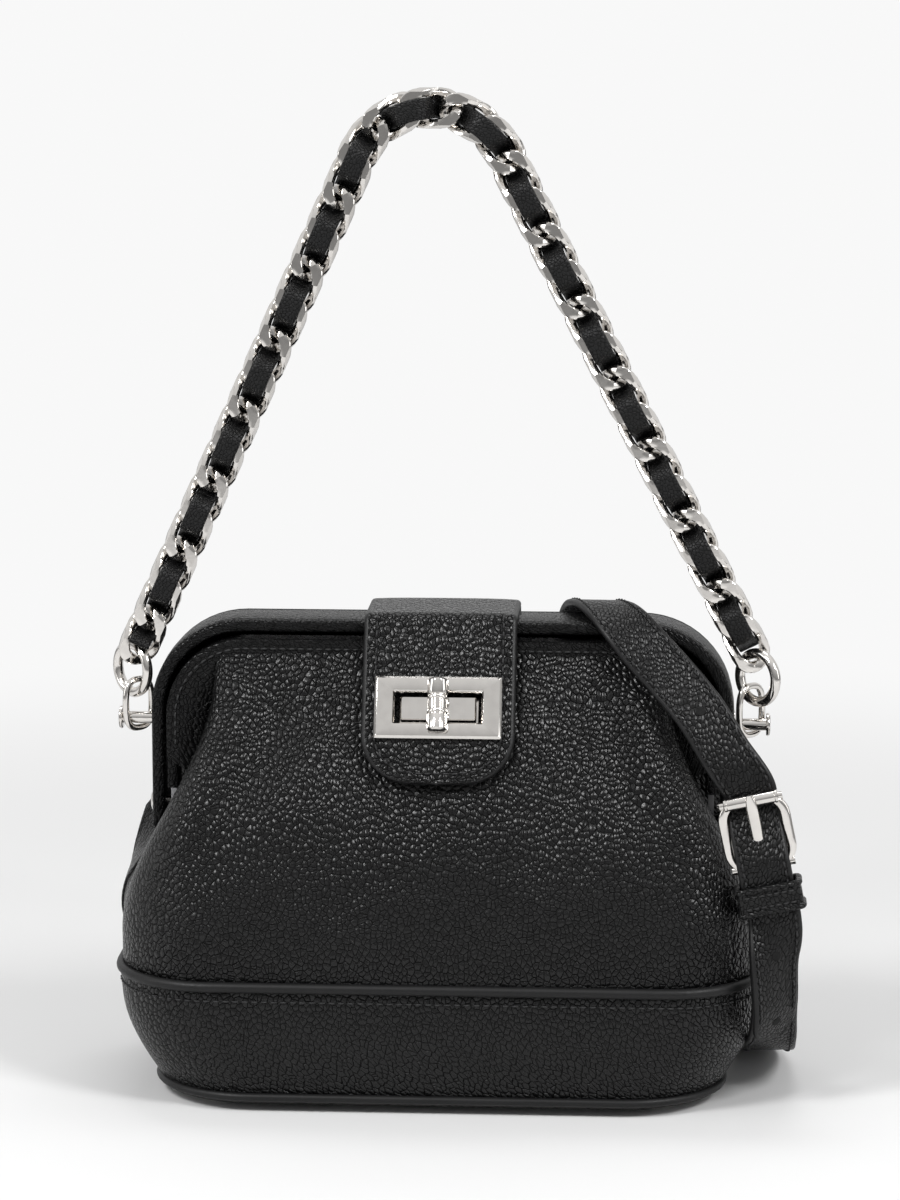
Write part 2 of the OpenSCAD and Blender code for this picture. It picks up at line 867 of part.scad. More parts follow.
module links(first, last) {
    color(nickel)
    for (side = [-1, 1], i = [first:last])
        link(i, side);
}

strip_out = link_c + wire_d / 2 + strip_gap;

// Flat run of the strip between two links, from share f0 to share f1 of the way, in front or behind
module strip_run(i, side, f0, f1, front) {
    a = route(link_s(i, side));
    b = route(link_s(i + 1, side));
    p = a + (b - a) * f0;
    q = a + (b - a) * f1;
    mid = (p + q) / 2;
    tilt = atan2(q.x - p.x, q.z - p.z);
    l = norm(q - p);
    y = (front ? -1 : 1) * (strip_out + strip_t / 2);
    translate([mid.x, y, mid.z])
    rotate([0, tilt, 0])
    cube([strip_w, strip_t, l], center = true);
}

// Pass of the strip through the middle of a link
module strip_pass(i, side) {
    c = route(link_s(i, side));
    u = link_dir(i, side);
    translate(c)
    rotate([0, atan2(u.x, u.z), 0])
    cube([strip_w, 2 * (strip_out + strip_t), strip_t], center = true);
}

function in_front(i, side) = side < 0 ? i % 2 == 0 : i % 2 == 1;

module strip(first, last, starts_cut, ends_cut) {
    half = strip_t / 2 / pitch;
    cut_share = strip_cut / pitch;
    color(black_leather)
    for (side = [-1, 1])
        union() {
            for (i = [first:last])
                strip_pass(i, side);
            for (i = [first:1:last - 1])
                strip_run(i, side, -half, 1 + half, in_front(i, side));
            if (starts_cut)
                strip_run(first - 1, side, 0.5 + cut_share, 1 + half, in_front(first - 1, side));
            if (ends_cut)
                strip_run(last, side, -half, 0.5 - cut_share, in_front(last, side));
        }
}

module chain_links_1() {
    links(1, leg_ends[0]);
}

module chain_links_2() {
    links(leg_ends[0] + 1, leg_ends[1]);
}

module chain_links_3() {
    links(leg_ends[1] + 1, leg_ends[2]);
}

module chain_links_4() {
    links(leg_ends[2] + 1, leg_ends[3]);
}

module chain_links_5() {
    links(leg_ends[3] + 1, leg_links);
    color(nickel)
    link(leg_links + 1, 1);
}

module chain_strip_1() {
    strip(1, leg_ends[0], false, true);
}

module chain_strip_2() {
    strip(leg_ends[0] + 1, leg_ends[1], true, true);
}

module chain_strip_3() {
    strip(leg_ends[1] + 1, leg_ends[2], true, true);
}

module chain_strip_4() {
    strip(leg_ends[2] + 1, leg_ends[3], true, true);
}

module chain_strip_5() {
    union() {
        strip(leg_ends[3] + 1, leg_links, true, false);
        for (side = [-1, 1])
            color(black_leather)
            strip_run(leg_links, side, -strip_t / 2 / pitch, 1 + strip_t / 2 / pitch,
                in_front(leg_links, side));
        color(black_leather)
        strip_pass(leg_links + 1, 1);
    }
}

module round_rings() {
    color(nickel)
    for (side = [-1, 1])
        translate([side * ring_x, side * ring_y, ring_z])
        rotate([0, 0, ring_turn])
        rotate([90, 0, 0])
        rotate_extrude($fn = steps_round)
        translate([ring_r, 0])
        circle(r = ring_d / 2, $fn = steps_round / 2);
}

function squared(x) = sign(x) * pow(abs(x), loop_square);

// Squarish wire loop on each side post that carries the round ring
module side_loops() {
    ts = [for (k = [0:loop_steps - 1]) 360 * k / loop_steps];
    across = [cos(ring_turn + 90), sin(ring_turn + 90), 0];
    out = [cos(ring_turn), sin(ring_turn), 0];
    color(nickel)
    for (side = [-1, 1]) {
        c = [side * loop_x, 0, loop_z];
        centres = [for (t = ts) c + loop_half_w * squared(cos(t)) * across
            + [0, 0, loop_half_h * squared(sin(t))]];
        tangents = [for (k = [0:loop_steps - 1])
            unit(centres[(k + 1) % loop_steps] - centres[(k + loop_steps - 1) % loop_steps])];
        closed_bar(centres, [for (t = tangents) cross(out, t)], [for (t = ts) out], loop_r, loop_sides);
    }
}

module side_posts() {
    color(nickel)
    for (side = [-1, 1]) {
        translate([side * (rim_w / 2 + (post_reach - rim_t / 2) / 2), 0, post_z])
        rotate([0, 90, 0])
        cylinder(r = side_post_r, h = post_reach + rim_t / 2, center = true, $fn = steps_round);
        translate([side * (rim_w / 2 + washer_disc_t / 2), 0, post_z])
        rotate([0, 90, 0])
        cylinder(r = washer_disc_r, h = washer_disc_t, center = true, $fn = steps_round);
        translate([side * (rim_w / 2 + post_reach - post_head_h / 2), 0, post_z])
        rotate([0, 90, 0])
        cylinder(r = post_head_r, h = post_head_h, center = true, $fn = steps_round);
    }
}

// Routes of the strap: hand-chosen points [x, y, z, direction its outer face looks in x, y, z]
strap_ring_y = rear_y(strap_ring_z) + strap_ring_reach;
strap_ring_low = strap_ring_z - strap_ring_h * cos(strap_ring_tilt);
strap_ring_low_y = strap_ring_y + strap_ring_h * sin(strap_ring_tilt);
// The routes were drawn for this rim height, and their upper points follow the rim
drawn_h = 155;
lift = body_h - drawn_h;
long_route = [
    [-strap_ring_x, strap_ring_low_y, strap_ring_low - 1, 0, 1, 0.2],
    [-strap_ring_x, strap_ring_low_y + 4, strap_ring_low - strap_hang, 0, 1, 0.2],
    [-77, 52.5, 58 + lift / 2, 0, 1, 0.1],
    [-74, 58, 34, 0, 1, 0.1],
    [-70, 64, 14, -0.1, 0.8, 0.5],
    [-66, 78, 5, -0.4, 0.2, 0.9],
    [-62, 96, 8, -0.9, 0.1, 0.4],
    [-52, 116, 10, -0.8, 0.6, 0],
    [-26, 128, 10, 0, 1, 0],
    [2, 118, 10, 0.8, 0.6, 0],
    [14, 98, 8, 0.9, -0.1, 0.4],
    [20, 80, 5, 0.4, 0.2, 0.9],
    [23, 65, 14, 0.1, 0.8, 0.5],
    [26, 59, 36, 0, 1, 0.1],
    [31, 56, 62 + lift / 2, 0, 1, 0.1],
    [35, 50, 88 + lift, 0, 0.97, 0.2],
    [39, 41, 114 + lift, 0, 0.95, 0.3],
    [43, 30, 137 + lift, 0, 0.9, 0.4],
    [46, 20, 153 + lift, 0, 0.7, 0.7],
    [50, 7, 158.4 + lift, 0, 0.25, 0.97],
    [54.5, -5, 158.6 + lift, 0, -0.25, 0.97],
    [60, -13.5, 154.8 + lift, 0, -0.65, 0.75],
    [66, -18, 148.5 + lift, 0.05, -0.85, 0.5],
    [74.5, -22, 140 + lift, 0.1, -0.9, 0.4],
    [84, -27.5, 129.5 + lift, 0.2, -0.9, 0.3],
    [92.5, -31.5, 116.5 + lift, 0.25, -0.93, 0.2]
];
tail_route = [
    [108.5, -41.4, 50, 0.05, -1, 0],
    [109, -39.2, 36, 0.05, -1, -0.15],
    [108.5, -32, 24, 0, -0.8, -0.6]
];
under_route = [
    [108.5, -37.8, 50, 0.05, -1, 0],
    [109, -35.4, 37, 0.05, -1, -0.15],
    [108.5, -28.5, 26, 0, -0.8, -0.6],
    [108, -15, 17, 0, -0.5, -0.87],
    [108, 4, 10, 0, -0.2, -1],
    [106, 26, 4.5, 0, -0.1, -1],
    [99, 48, 3, 0, 0.1, -1],
    [89, 64, 12, 0, 0.8, -0.6],
    [82, 61.5, 36, 0, 1, 0],
    [79, 53, 60 + lift / 2, 0, 1, 0.1],
    [strap_ring_x, strap_ring_low_y + 4, strap_ring_low - strap_hang, 0, 1, 0.2],
    [strap_ring_x, strap_ring_low_y, strap_ring_low - 1, 0, 1, 0.2]
];

// Smooth route through points that may hold any number of values
function smooth(points, n) =
    let (last = len(points) - 1)
    concat([for (i = [0:last - 1]) for (k = [0:n - 1])
        let (
            t = k / n,
            p0 = points[max(0, i - 1)],
            p1 = points[i],
            p2 = points[i + 1],
            p3 = points[min(last, i + 2)]
        )
        0.5 * (2 * p1 + (p2 - p0) * t + (2 * p0 - 5 * p1 + 4 * p2 - p3) * t * t
            + (3 * p1 - p0 - 3 * p2 + p3) * t * t * t)], [points[last]]);

function head(row) = [row[0], row[1], row[2]];
function face(row) = [row[3], row[4], row[5]];

// Flat strap along a route, its outer face turned as the route says
module ribbon(rows, w, t) {
    m = len(rows);
    points = [for (i = [0:m - 1])
        let (
            dir = unit(head(rows[min(m - 1, i + 1)]) - head(rows[max(0, i - 1)])),
            n = unit(face(rows[i]) - (face(rows[i]) * dir) * dir),
            b = cross(dir, n)
        )
        for (k = [[1, 1], [-1, 1], [-1, -1], [1, -1]])
            head(rows[i]) + b * k[0] * w / 2 + n * k[1] * t / 2];
    polyhedron(
        points = points,
        faces = concat(
            [for (i = [0:m - 2]) each band_faces(i, i + 1, 4)],
            [[0, 3, 2], [0, 2, 1]],
            [[4 * m - 4, 4 * m - 3, 4 * m - 2], [4 * m - 4, 4 * m - 2, 4 * m - 1]]
        ),
        convexity = 10
    );
}

// Places a drawing at the buckle: X across, Y towards the front, Z up the strap
module at_buckle() {
    translate([buckle_x, buckle_y, buckle_z])
    rotate([0, -buckle_tilt, 0])
    rotate([0, 0, 180])
    children();
}

roller_z = buckle_h / 2 - bar_r - bar_inset;
pivot_bar_z = -buckle_h / 2 + bar_r + bar_inset;
behind_roller = roller_r + strap_t / 2 + gap;
strap_fold_t = 1.3;
under_off = 1.3;
under_y = 0.3;
keeper_back = strap_t / 2 - under_y;
over_pivot = bar_r + pin_fit + strap_fold_t + gap + strap_t / 2;

function at_buckle_point(x, y, z, n) =
    let (
        c = cos(buckle_tilt),
        s = sin(buckle_tilt)
    )
    [buckle_x - x * c - z * s, buckle_y - y, buckle_z - x * s + z * c, n[0], n[1], n[2]];

// The strap runs behind the roller and over the buckle's fixed bar
buckle_rows = [
    at_buckle_point(0, -behind_roller, roller_z + 4, [0, -1, 0]),
    at_buckle_point(0, -behind_roller, roller_z - 1, [0, -1, 0]),
    at_buckle_point(0, 0.4, 0.5, [0, -1, 0.3]),
    at_buckle_point(0, over_pivot, pivot_bar_z + 2, [0, -1, 0]),
    at_buckle_point(0, over_pivot, keeper_z + keeper_h / 2, [0, -1, 0]),
    at_buckle_point(0, over_pivot, keeper_z - keeper_h, [0, -1, 0])
];

// The buckle's own strap starts behind its fixed bar and runs down under the other
under_buckle_rows = [
    at_buckle_point(0, -under_off, pivot_bar_z - 1, [0, -1, 0]),
    at_buckle_point(0, under_y, keeper_z + keeper_h / 2, [0, -1, 0]),
    at_buckle_point(0, under_y, keeper_z - keeper_h, [0, -1, 0])
];

// Slot for the prong, as long as the slanting prong needs
prong_slot_z = -2.9;
prong_slot_h = 12;

module prong_slot() {
    at_buckle()
    translate([0, 0, prong_slot_z])
    cube([2 * (prong_r + gap), 4 * behind_roller, prong_slot_h], center = true);
}

// Fold of a strap end round a bar that runs along X
module end_fold(x, y, z) {
    translate([x, y, z])
    rotate([0, 90, 0])
    cylinder(r = strap_ring_wire / 2 + pin_fit + strap_fold_t, h = strap_w, center = true, $fn = steps_round);
}

module end_bore(x, y, z) {
    translate([x, y, z])
    rotate([0, 90, 0])
    cylinder(r = strap_ring_wire / 2 + pin_fit, h = 2 * strap_w, center = true, $fn = steps_round);
}

module long_strap() {
    rows = smooth(concat(long_route, buckle_rows, tail_route), strap_steps);
    color(black_leather)
    difference() {
        union() {
            ribbon(rows, strap_w, strap_t);
            end_fold(-strap_ring_x, strap_ring_low_y, strap_ring_low);
        }
        prong_slot();
        end_bore(-strap_ring_x, strap_ring_low_y, strap_ring_low);
    }
}

module buckle_strap() {
    fold_r = bar_r + pin_fit + strap_fold_t;
    color(black_leather)
    difference() {
        union() {
            ribbon(smooth(concat(under_buckle_rows, under_route), strap_steps), strap_w, strap_t);
            end_fold(strap_ring_x, strap_ring_low_y, strap_ring_low);
            at_buckle()
            translate([0, 0, pivot_bar_z])
            rotate([0, 90, 0])
            cylinder(r = fold_r, h = strap_w, center = true, $fn = steps_round);
        }
        end_bore(strap_ring_x, strap_ring_low_y, strap_ring_low);
        at_buckle()
        translate([0, 0, pivot_bar_z])
        rotate([0, 90, 0])
        cylinder(r = bar_r + pin_fit, h = 2 * strap_w, center = true, $fn = steps_round);
        at_buckle()
        translate([0, 0, pivot_bar_z])
        cube([2 * (prong_r + gap), 4 * fold_r, 4 * prong_eye_r], center = true);
    }
}

module strap_keeper() {
    front = over_pivot + strap_t / 2 + gap + keeper_t;
    back = keeper_back + gap + keeper_t;
    color(black_leather)
    at_buckle()
    translate([0, (front - back) / 2, keeper_z])
    linear_extrude(keeper_h, center = true)
    difference() {
        square([strap_w + 2 * (gap + keeper_t), front + back], center = true);
        square([strap_w + 2 * gap, front + back - 2 * keeper_t], center = true);
    }
}

module buckle_frame() {
    color(nickel)
    at_buckle()
    union() {
        rotate([90, 0, 0])
        linear_extrude(buckle_t, center = true)
        difference() {
            buckle_shape(buckle_w, buckle_h, buckle_r);
            square([buckle_w - 2 * buckle_rim, buckle_h + cut], center = true);
        }
        for (z = [roller_z, pivot_bar_z])
            translate([0, 0, z])
            rotate([0, 90, 0])
            cylinder(r = bar_r, h = buckle_w - buckle_rim, center = true, $fn = steps_round);
    }
}

module buckle_shape(w, h, r) {
    union() {
        square([w - 2 * r, h], center = true);
        square([w, h - 2 * r], center = true);
        for (x = [-1, 1], z = [-1, 1])
            translate([x * (w / 2 - r), z * (h / 2 - r)])
            circle(r = r, $fn = steps_round);
    }
}

module buckle_roller() {
    color(nickel)
    at_buckle()
    translate([0, 0, roller_z])
    rotate([0, 90, 0])
    difference() {
        cylinder(r = roller_r, h = buckle_w - 2 * buckle_rim - 2 * gap, center = true, $fn = steps_round);
        cylinder(r = bar_r + pin_fit, h = buckle_w, center = true, $fn = steps_round);
    }
}

module buckle_prong() {
    tip_y = roller_r + prong_r + gap;
    reach_up = roller_z + roller_r - pivot_bar_z;
    slant = atan2(tip_y, roller_z - pivot_bar_z);
    color(nickel)
    at_buckle()
    difference() {
        union() {
            translate([0, 0, pivot_bar_z])
            rotate([-slant, 0, 0])
            cylinder(r = prong_r, h = reach_up / cos(slant), $fn = steps_round);
            translate([0, 0, pivot_bar_z])
            rotate([0, 90, 0])
            cylinder(r = prong_eye_r, h = 2 * prong_r, center = true, $fn = steps_round);
        }
        translate([0, 0, pivot_bar_z])
        rotate([0, 90, 0])
        cylinder(r = bar_r + pin_fit, h = 4 * prong_r, center = true, $fn = steps_round);
    }
}

// Square-cornered wire ring at each side of the back, with its leather tab
module strap_rings() {
    r = strap_ring_wire / 2;
    color(nickel)
    for (side = [-1, 1])
        translate([side * strap_ring_x, strap_ring_y, strap_ring_z])
        rotate([strap_ring_tilt, 0, 0])
        translate([0, 0, -strap_ring_h / 2])
        union() {
            for (z = [-1, 1])
                translate([0, 0, z * strap_ring_h / 2])
                rotate([0, 90, 0])
                cylinder(r = r, h = strap_ring_w, center = true, $fn = steps_round);
            for (x = [-1, 1])
                translate([x * strap_ring_w / 2, 0, 0])
                cylinder(r = r, h = strap_ring_h, center = true, $fn = steps_round);
            for (x = [-1, 1], z = [-1, 1])
                translate([x * strap_ring_w / 2, 0, z * strap_ring_h / 2])
                sphere(r = r, $fn = steps_round);
        }
}

module strap_ring_tabs() {
    bore_r = strap_ring_wire / 2 + pin_fit;
    rows = 4;
    function grid(side, t) = [for (i = [0:rows])
        let (z = strap_ring_z + ring_tab_h * i / rows)
        [for (x = [-1, 1]) [side * strap_ring_x + x * ring_tab_w / 2, rear_y(z) + gap + t, z]]];
    color(black_leather)
    for (side = [-1, 1])
        difference() {
            union() {
                sheet(grid(side, 0), grid(side, ring_tab_t));
                translate([side * strap_ring_x, strap_ring_y, strap_ring_z])
                rotate([0, 90, 0])
                cylinder(r = bore_r + ring_tab_t, h = ring_tab_w, center = true, $fn = steps_round);
            }
            translate([side * strap_ring_x, strap_ring_y, strap_ring_z])
            rotate([0, 90, 0])
            cylinder(r = bore_r, h = 2 * ring_tab_w, center = true, $fn = steps_round);
        }
}

base_panel();
base_board();
base_feet();
base_piping();
base_band();
waist_piping();
front_panel_lower();
rear_panel();
left_gusset();
right_gusset();
bag_lining();
rear_lining();
rear_frame_bar();
rear_frame_cover();
hinge_rivets();
tab_root();
side_posts();
front_frame_bar();
front_frame_cover();
front_panel_upper();
front_lining_upper();
lock_base_plate();
lock_back_washer();
turn_knob();
closing_tab();
tab_backing();
lock_front_plate();
lock_clamp_plate();
side_loops();
round_rings();
chain_links_1();
chain_links_2();
chain_links_3();
chain_links_4();
chain_links_5();
chain_strip_1();
chain_strip_2();
chain_strip_3();
chain_strip_4();
chain_strip_5();
strap_ring_tabs();
strap_rings();
long_strap();
buckle_strap();
strap_keeper();
buckle_frame();
buckle_roller();
buckle_prong();
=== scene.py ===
import math

import bmesh
import bpy
import numpy as np
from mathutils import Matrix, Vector


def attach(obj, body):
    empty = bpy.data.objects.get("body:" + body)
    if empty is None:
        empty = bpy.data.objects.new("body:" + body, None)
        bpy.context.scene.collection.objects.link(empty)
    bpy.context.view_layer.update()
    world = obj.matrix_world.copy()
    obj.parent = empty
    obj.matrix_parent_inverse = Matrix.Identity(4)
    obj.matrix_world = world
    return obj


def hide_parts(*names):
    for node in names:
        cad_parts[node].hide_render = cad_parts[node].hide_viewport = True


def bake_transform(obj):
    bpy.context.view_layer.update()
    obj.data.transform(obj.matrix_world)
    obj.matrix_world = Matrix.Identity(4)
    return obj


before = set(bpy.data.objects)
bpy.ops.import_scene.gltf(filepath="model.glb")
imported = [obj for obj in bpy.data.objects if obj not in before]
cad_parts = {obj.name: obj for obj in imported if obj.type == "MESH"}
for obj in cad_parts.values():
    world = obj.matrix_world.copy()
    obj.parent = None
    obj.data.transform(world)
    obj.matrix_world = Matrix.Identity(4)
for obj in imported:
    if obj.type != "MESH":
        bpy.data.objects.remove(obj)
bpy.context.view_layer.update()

MM = 0.001
V = np.array

# Sizes of the CAD model, in millimetres
WAIST_Z, TOP_Z, BODY_H = 42.0, 149.0, 155.0
WAIST_W, WAIST_D = 204.0, 98.0
BASE_W, BASE_D, BASE_Z = 184.0, 92.0, 4.6
FRONT_TOP_Y, REAR_TOP_Y = 12.0, 13.2
PIVOT_Z = 92.0
# Half width, top and corner radius of the two frames
REAR_ARCH, FRONT_ARCH = (95, 155, 30), (90, 149, 26)
RIM_HALF = 95.0
POST_Z = 120.0
LOCK = V([0.0, -22.7957, 127.5])
LEAN = math.radians(25.515)
TAB_OFF = 5.0
TAB_W, TAB_END_R, TAB_SEAM = 47.0, 16.0, 3.0


# ---------------------------------------------------------------- materials

class Nodes:
    """A small writer of node trees, for a material or for the world."""

    def __init__(self, owner, shader="Principled BSDF"):
        owner.use_nodes = True
        self.owner, self.tree = owner, owner.node_tree
        self.shader = self.tree.nodes[shader]

    def add(self, kind, links=None, **settings):
        node = self.tree.nodes.new(kind)
        for key, value in settings.items():
            setattr(node, key, value)
        for socket, value in (links or {}).items():
            self.put(node.inputs[socket], value)
        return node

    def put(self, socket, value):
        if isinstance(value, bpy.types.NodeSocket):
            self.tree.links.new(value, socket)
        else:
            socket.default_value = value

    def surface(self, **inputs):
        """Sets the shader's own sockets, Base_Color for "Base Color"."""
        for name, value in inputs.items():
            self.put(self.shader.inputs[name.replace("_", " ")], value)

    def math(self, operation, a, b=0.0, c=0.0):
        return self.add("ShaderNodeMath", {0: a, 1: b, 2: c}, operation=operation).outputs[0]

    def vectors(self, operation, a, b):
        return self.add("ShaderNodeVectorMath", {0: a, 1: b}, operation=operation).outputs[0]

    def noise(self, place, scale, detail=1.0, roughness=0.5):
        links = {"Vector": place, "Scale": scale, "Detail": detail, "Roughness": roughness}
        return self.add("ShaderNodeTexNoise", links).outputs

    def spread(self, value, low, high, to_low=0.0, to_high=1.0):
        links = {"Value": value, "From Min": low, "From Max": high, "To Min": to_low, "To Max": to_high}
        return self.add("ShaderNodeMapRange", links, interpolation_type="SMOOTHSTEP").outputs[0]

    def colours(self, value, *stops):
        node = self.add("ShaderNodeValToRGB", {"Fac": value})
        ramp = node.color_ramp
        while len(ramp.elements) < len(stops):
            ramp.elements.new(0.5)
        for element, (place, colour) in zip(ramp.elements, stops):
            element.position = place
            element.color = (*colour, 1)
        return node.outputs["Color"]

    def grain_space(self, on_surface):
        if on_surface:
            return self.add("ShaderNodeUVMap", uv_map="grain").outputs[0]
        return self.vectors("MULTIPLY", self.add("ShaderNodeTexCoord").outputs["Object"], (1000, 1000, 1000))

    def bump(self, height, depth, strength=1.0):
        return self.add("ShaderNodeBump", {"Height": height, "Distance": depth, "Strength": strength}).outputs[0]


def new_material(name):
    return Nodes(bpy.data.materials.new(name))


def pebbled(name, cell=1.9, depth=0.0006, tone=(0.005, 0.005, 0.0052), gloss=(0.25, 0.4), shine=0.3):
    """Black pebbled leather, its creases darkened with painted shade. cell is the width of a pebble in millimetres."""
    n = new_material(name)
    place = n.grain_space(True)
    bend = n.vectors("MULTIPLY", n.noise(place, 0.09)["Color"], (3.0, 3.0, 3.0))
    shake = n.vectors("MULTIPLY", n.noise(place, 0.45)["Color"], (0.5, 0.5, 0.5))
    moved = n.vectors("ADD", n.vectors("ADD", place, bend), shake)
    moved = n.add("ShaderNodeMapping", {"Vector": moved, "Rotation": (0, 0, 0.62), "Scale": (1.12, 0.9, 1.0)})
    edge, core = (n.add("ShaderNodeTexVoronoi", {"Vector": moved.outputs[0], "Scale": 1 / cell, "Randomness": 0.95},
                        feature=feature, voronoi_dimensions="2D") for feature in ("DISTANCE_TO_EDGE", "F1"))
    pebble = n.spread(edge.outputs["Distance"], 0.0, 0.13)
    dome = n.spread(core.outputs["Distance"], 0.0, 0.8, 1.0, 0.0)
    fine = n.noise(place, 3.0, 2.0)["Fac"]
    height = n.math("MULTIPLY_ADD", dome, 0.5, n.math("MULTIPLY", pebble, 0.5))
    height = n.math("MULTIPLY_ADD", fine, 0.07, height)
    worn = n.spread(n.noise(place, 0.045, 2.0)["Fac"], 0.35, 0.65)
    # The colour mixes a little random wear with painted shade that darkens the creases between pebbles
    crease_shade_and_wear = n.math("MULTIPLY_ADD", worn, 0.15, n.math("MULTIPLY", pebble, 0.85))
    rough = n.math("ADD", n.spread(pebble, 0.0, 1.0, gloss[1], gloss[0]), n.spread(fine, 0.3, 0.7, -0.05, 0.06))
    n.surface(Base_Color=n.colours(crease_shade_and_wear, (0.0, (0.0015, 0.0015, 0.0015)), (1.0, tone)), Roughness=rough,
              Normal=n.bump(height, depth), Specular_IOR_Level=n.spread(pebble, 0.1, 0.9, 0.08, shine))
    return n.owner


def smooth_leather(name, tone, rough):
    """Edge paint and piping leather: nearly smooth, with a faint fine grain."""
    n = new_material(name)
    place = n.grain_space(False)
    grain = n.noise(place, 1.6, 4.0, 0.55)["Fac"]
    n.surface(Base_Color=n.colours(n.noise(place, 0.12)["Fac"], (0.3, tone), (0.7, tuple(1.5 * x for x in tone))),
              Roughness=n.spread(grain, 0.3, 0.7, rough - 0.05, rough + 0.08), Specular_IOR_Level=0.3,
              Normal=n.bump(grain, 0.00008, 0.5))
    return n.owner


def metal(name, tone, rough, marks=0.03):
    """Polished plate with very fine polishing marks and slight tone changes."""
    n = new_material(name)
    place = n.grain_space(False)
    marks_at = n.add("ShaderNodeMapping", {"Vector": place, "Scale": (0.2, 2.5, 0.6)})
    fine = n.noise(marks_at.outputs[0], 2.2, 3.0)["Fac"]
    n.surface(Base_Color=n.colours(n.noise(place, 0.25)["Fac"], (0.3, tuple(0.93 * x for x in tone)), (0.7, tone)),
              Metallic=1.0, Roughness=n.spread(fine, 0.3, 0.7, rough, rough + marks),
              Normal=n.bump(fine, 0.00002, 0.25))
    return n.owner


def cloth(name, tone):
    """Plain-woven lining: threads over and under, from two waves."""
    n = new_material(name)
    place = n.grain_space(True)
    waves = [n.add("ShaderNodeTexWave", {"Vector": place, "Scale": 0.5 / 0.55, "Distortion": 0.4},
                   bands_direction=axis).outputs["Fac"] for axis in "XY"]
    both = n.math("MULTIPLY", waves[0], waves[1])
    slub = n.math("MULTIPLY", n.noise(place, 0.4, 3.0)["Fac"], 0.4)
    n.surface(Base_Color=n.colours(n.math("MULTIPLY_ADD", both, 0.6, slub),
                                   (0.15, tuple(0.5 * x for x in tone)), (0.7, tone)),
              Roughness=0.82, Sheen_Weight=0.25, Sheen_Roughness=0.4, Normal=n.bump(both, 0.0001, 0.6))
    return n.owner


def thread(name, tone):
    """Sewing thread: a waxed twist."""
    n = new_material(name)
    ply = n.add("ShaderNodeTexWave", {"Vector": n.grain_space(False), "Scale": 1.3, "Distortion": 1.0},
                bands_direction="DIAGONAL").outputs["Fac"]
    n.surface(Base_Color=n.colours(ply, (0.2, tuple(0.5 * x for x in tone)), (0.8, tone)), Roughness=0.6,
              Normal=n.bump(ply, 0.00008, 0.6))
    return n.owner


LEATHER = pebbled("pebbled_leather")
RIM_LEATHER = pebbled("rim_leather", cell=1.6, depth=0.0004, shine=0.18)
STRAP_LEATHER = pebbled("strap_leather", cell=1.6, depth=0.0004, gloss=(0.32, 0.48))
DARK_LEATHER = pebbled("woven_leather", cell=1.2, depth=0.00025, tone=(0.004, 0.004, 0.0042), gloss=(0.48, 0.6))
PIPING = smooth_leather("piping_leather", (0.005, 0.005, 0.0052), 0.46)
EDGE = smooth_leather("edge_paint", (0.005, 0.005, 0.0052), 0.42)
NICKEL = metal("polished_nickel", (0.72, 0.695, 0.665), 0.08)
STEEL = metal("plain_steel", (0.42, 0.42, 0.43), 0.34, 0.12)
LINING = cloth("lining_cloth", (0.02, 0.02, 0.022))
BOARD = smooth_leather("pressed_board", (0.05, 0.045, 0.04), 0.85)
THREAD = thread("black_thread", (0.02, 0.02, 0.021))
# Near-black: painted shade laid over the leather where pin holes and stitch holes are
HOLE_SHADE = smooth_leather("punched_hole_shade", (0.002, 0.002, 0.002), 0.8)


# ---------------------------------------------------------------- mesh tools

def ease(t):
    t = np.clip(t, 0.0, 1.0)
    return t * t * (3 - 2 * t)


def unit(v):
    v = np.asarray(v, float)
    return v / np.maximum(np.linalg.norm(v, axis=-1, keepdims=True), 1e-9)


def run_lengths(points):
    """The length along a line from its first point to each of its points."""
    return np.concatenate([[0], np.cumsum(np.linalg.norm(np.diff(points, axis=0), axis=1))])


def turns(n):
    """n angles that share out a full turn."""
    return np.linspace(0, 2 * math.pi, n, endpoint=False)


def upright(up, ahead):
    """The direction nearest to up that stands square to ahead, at each point."""
    return unit(up - ahead * np.sum(up * ahead, 1, keepdims=True))


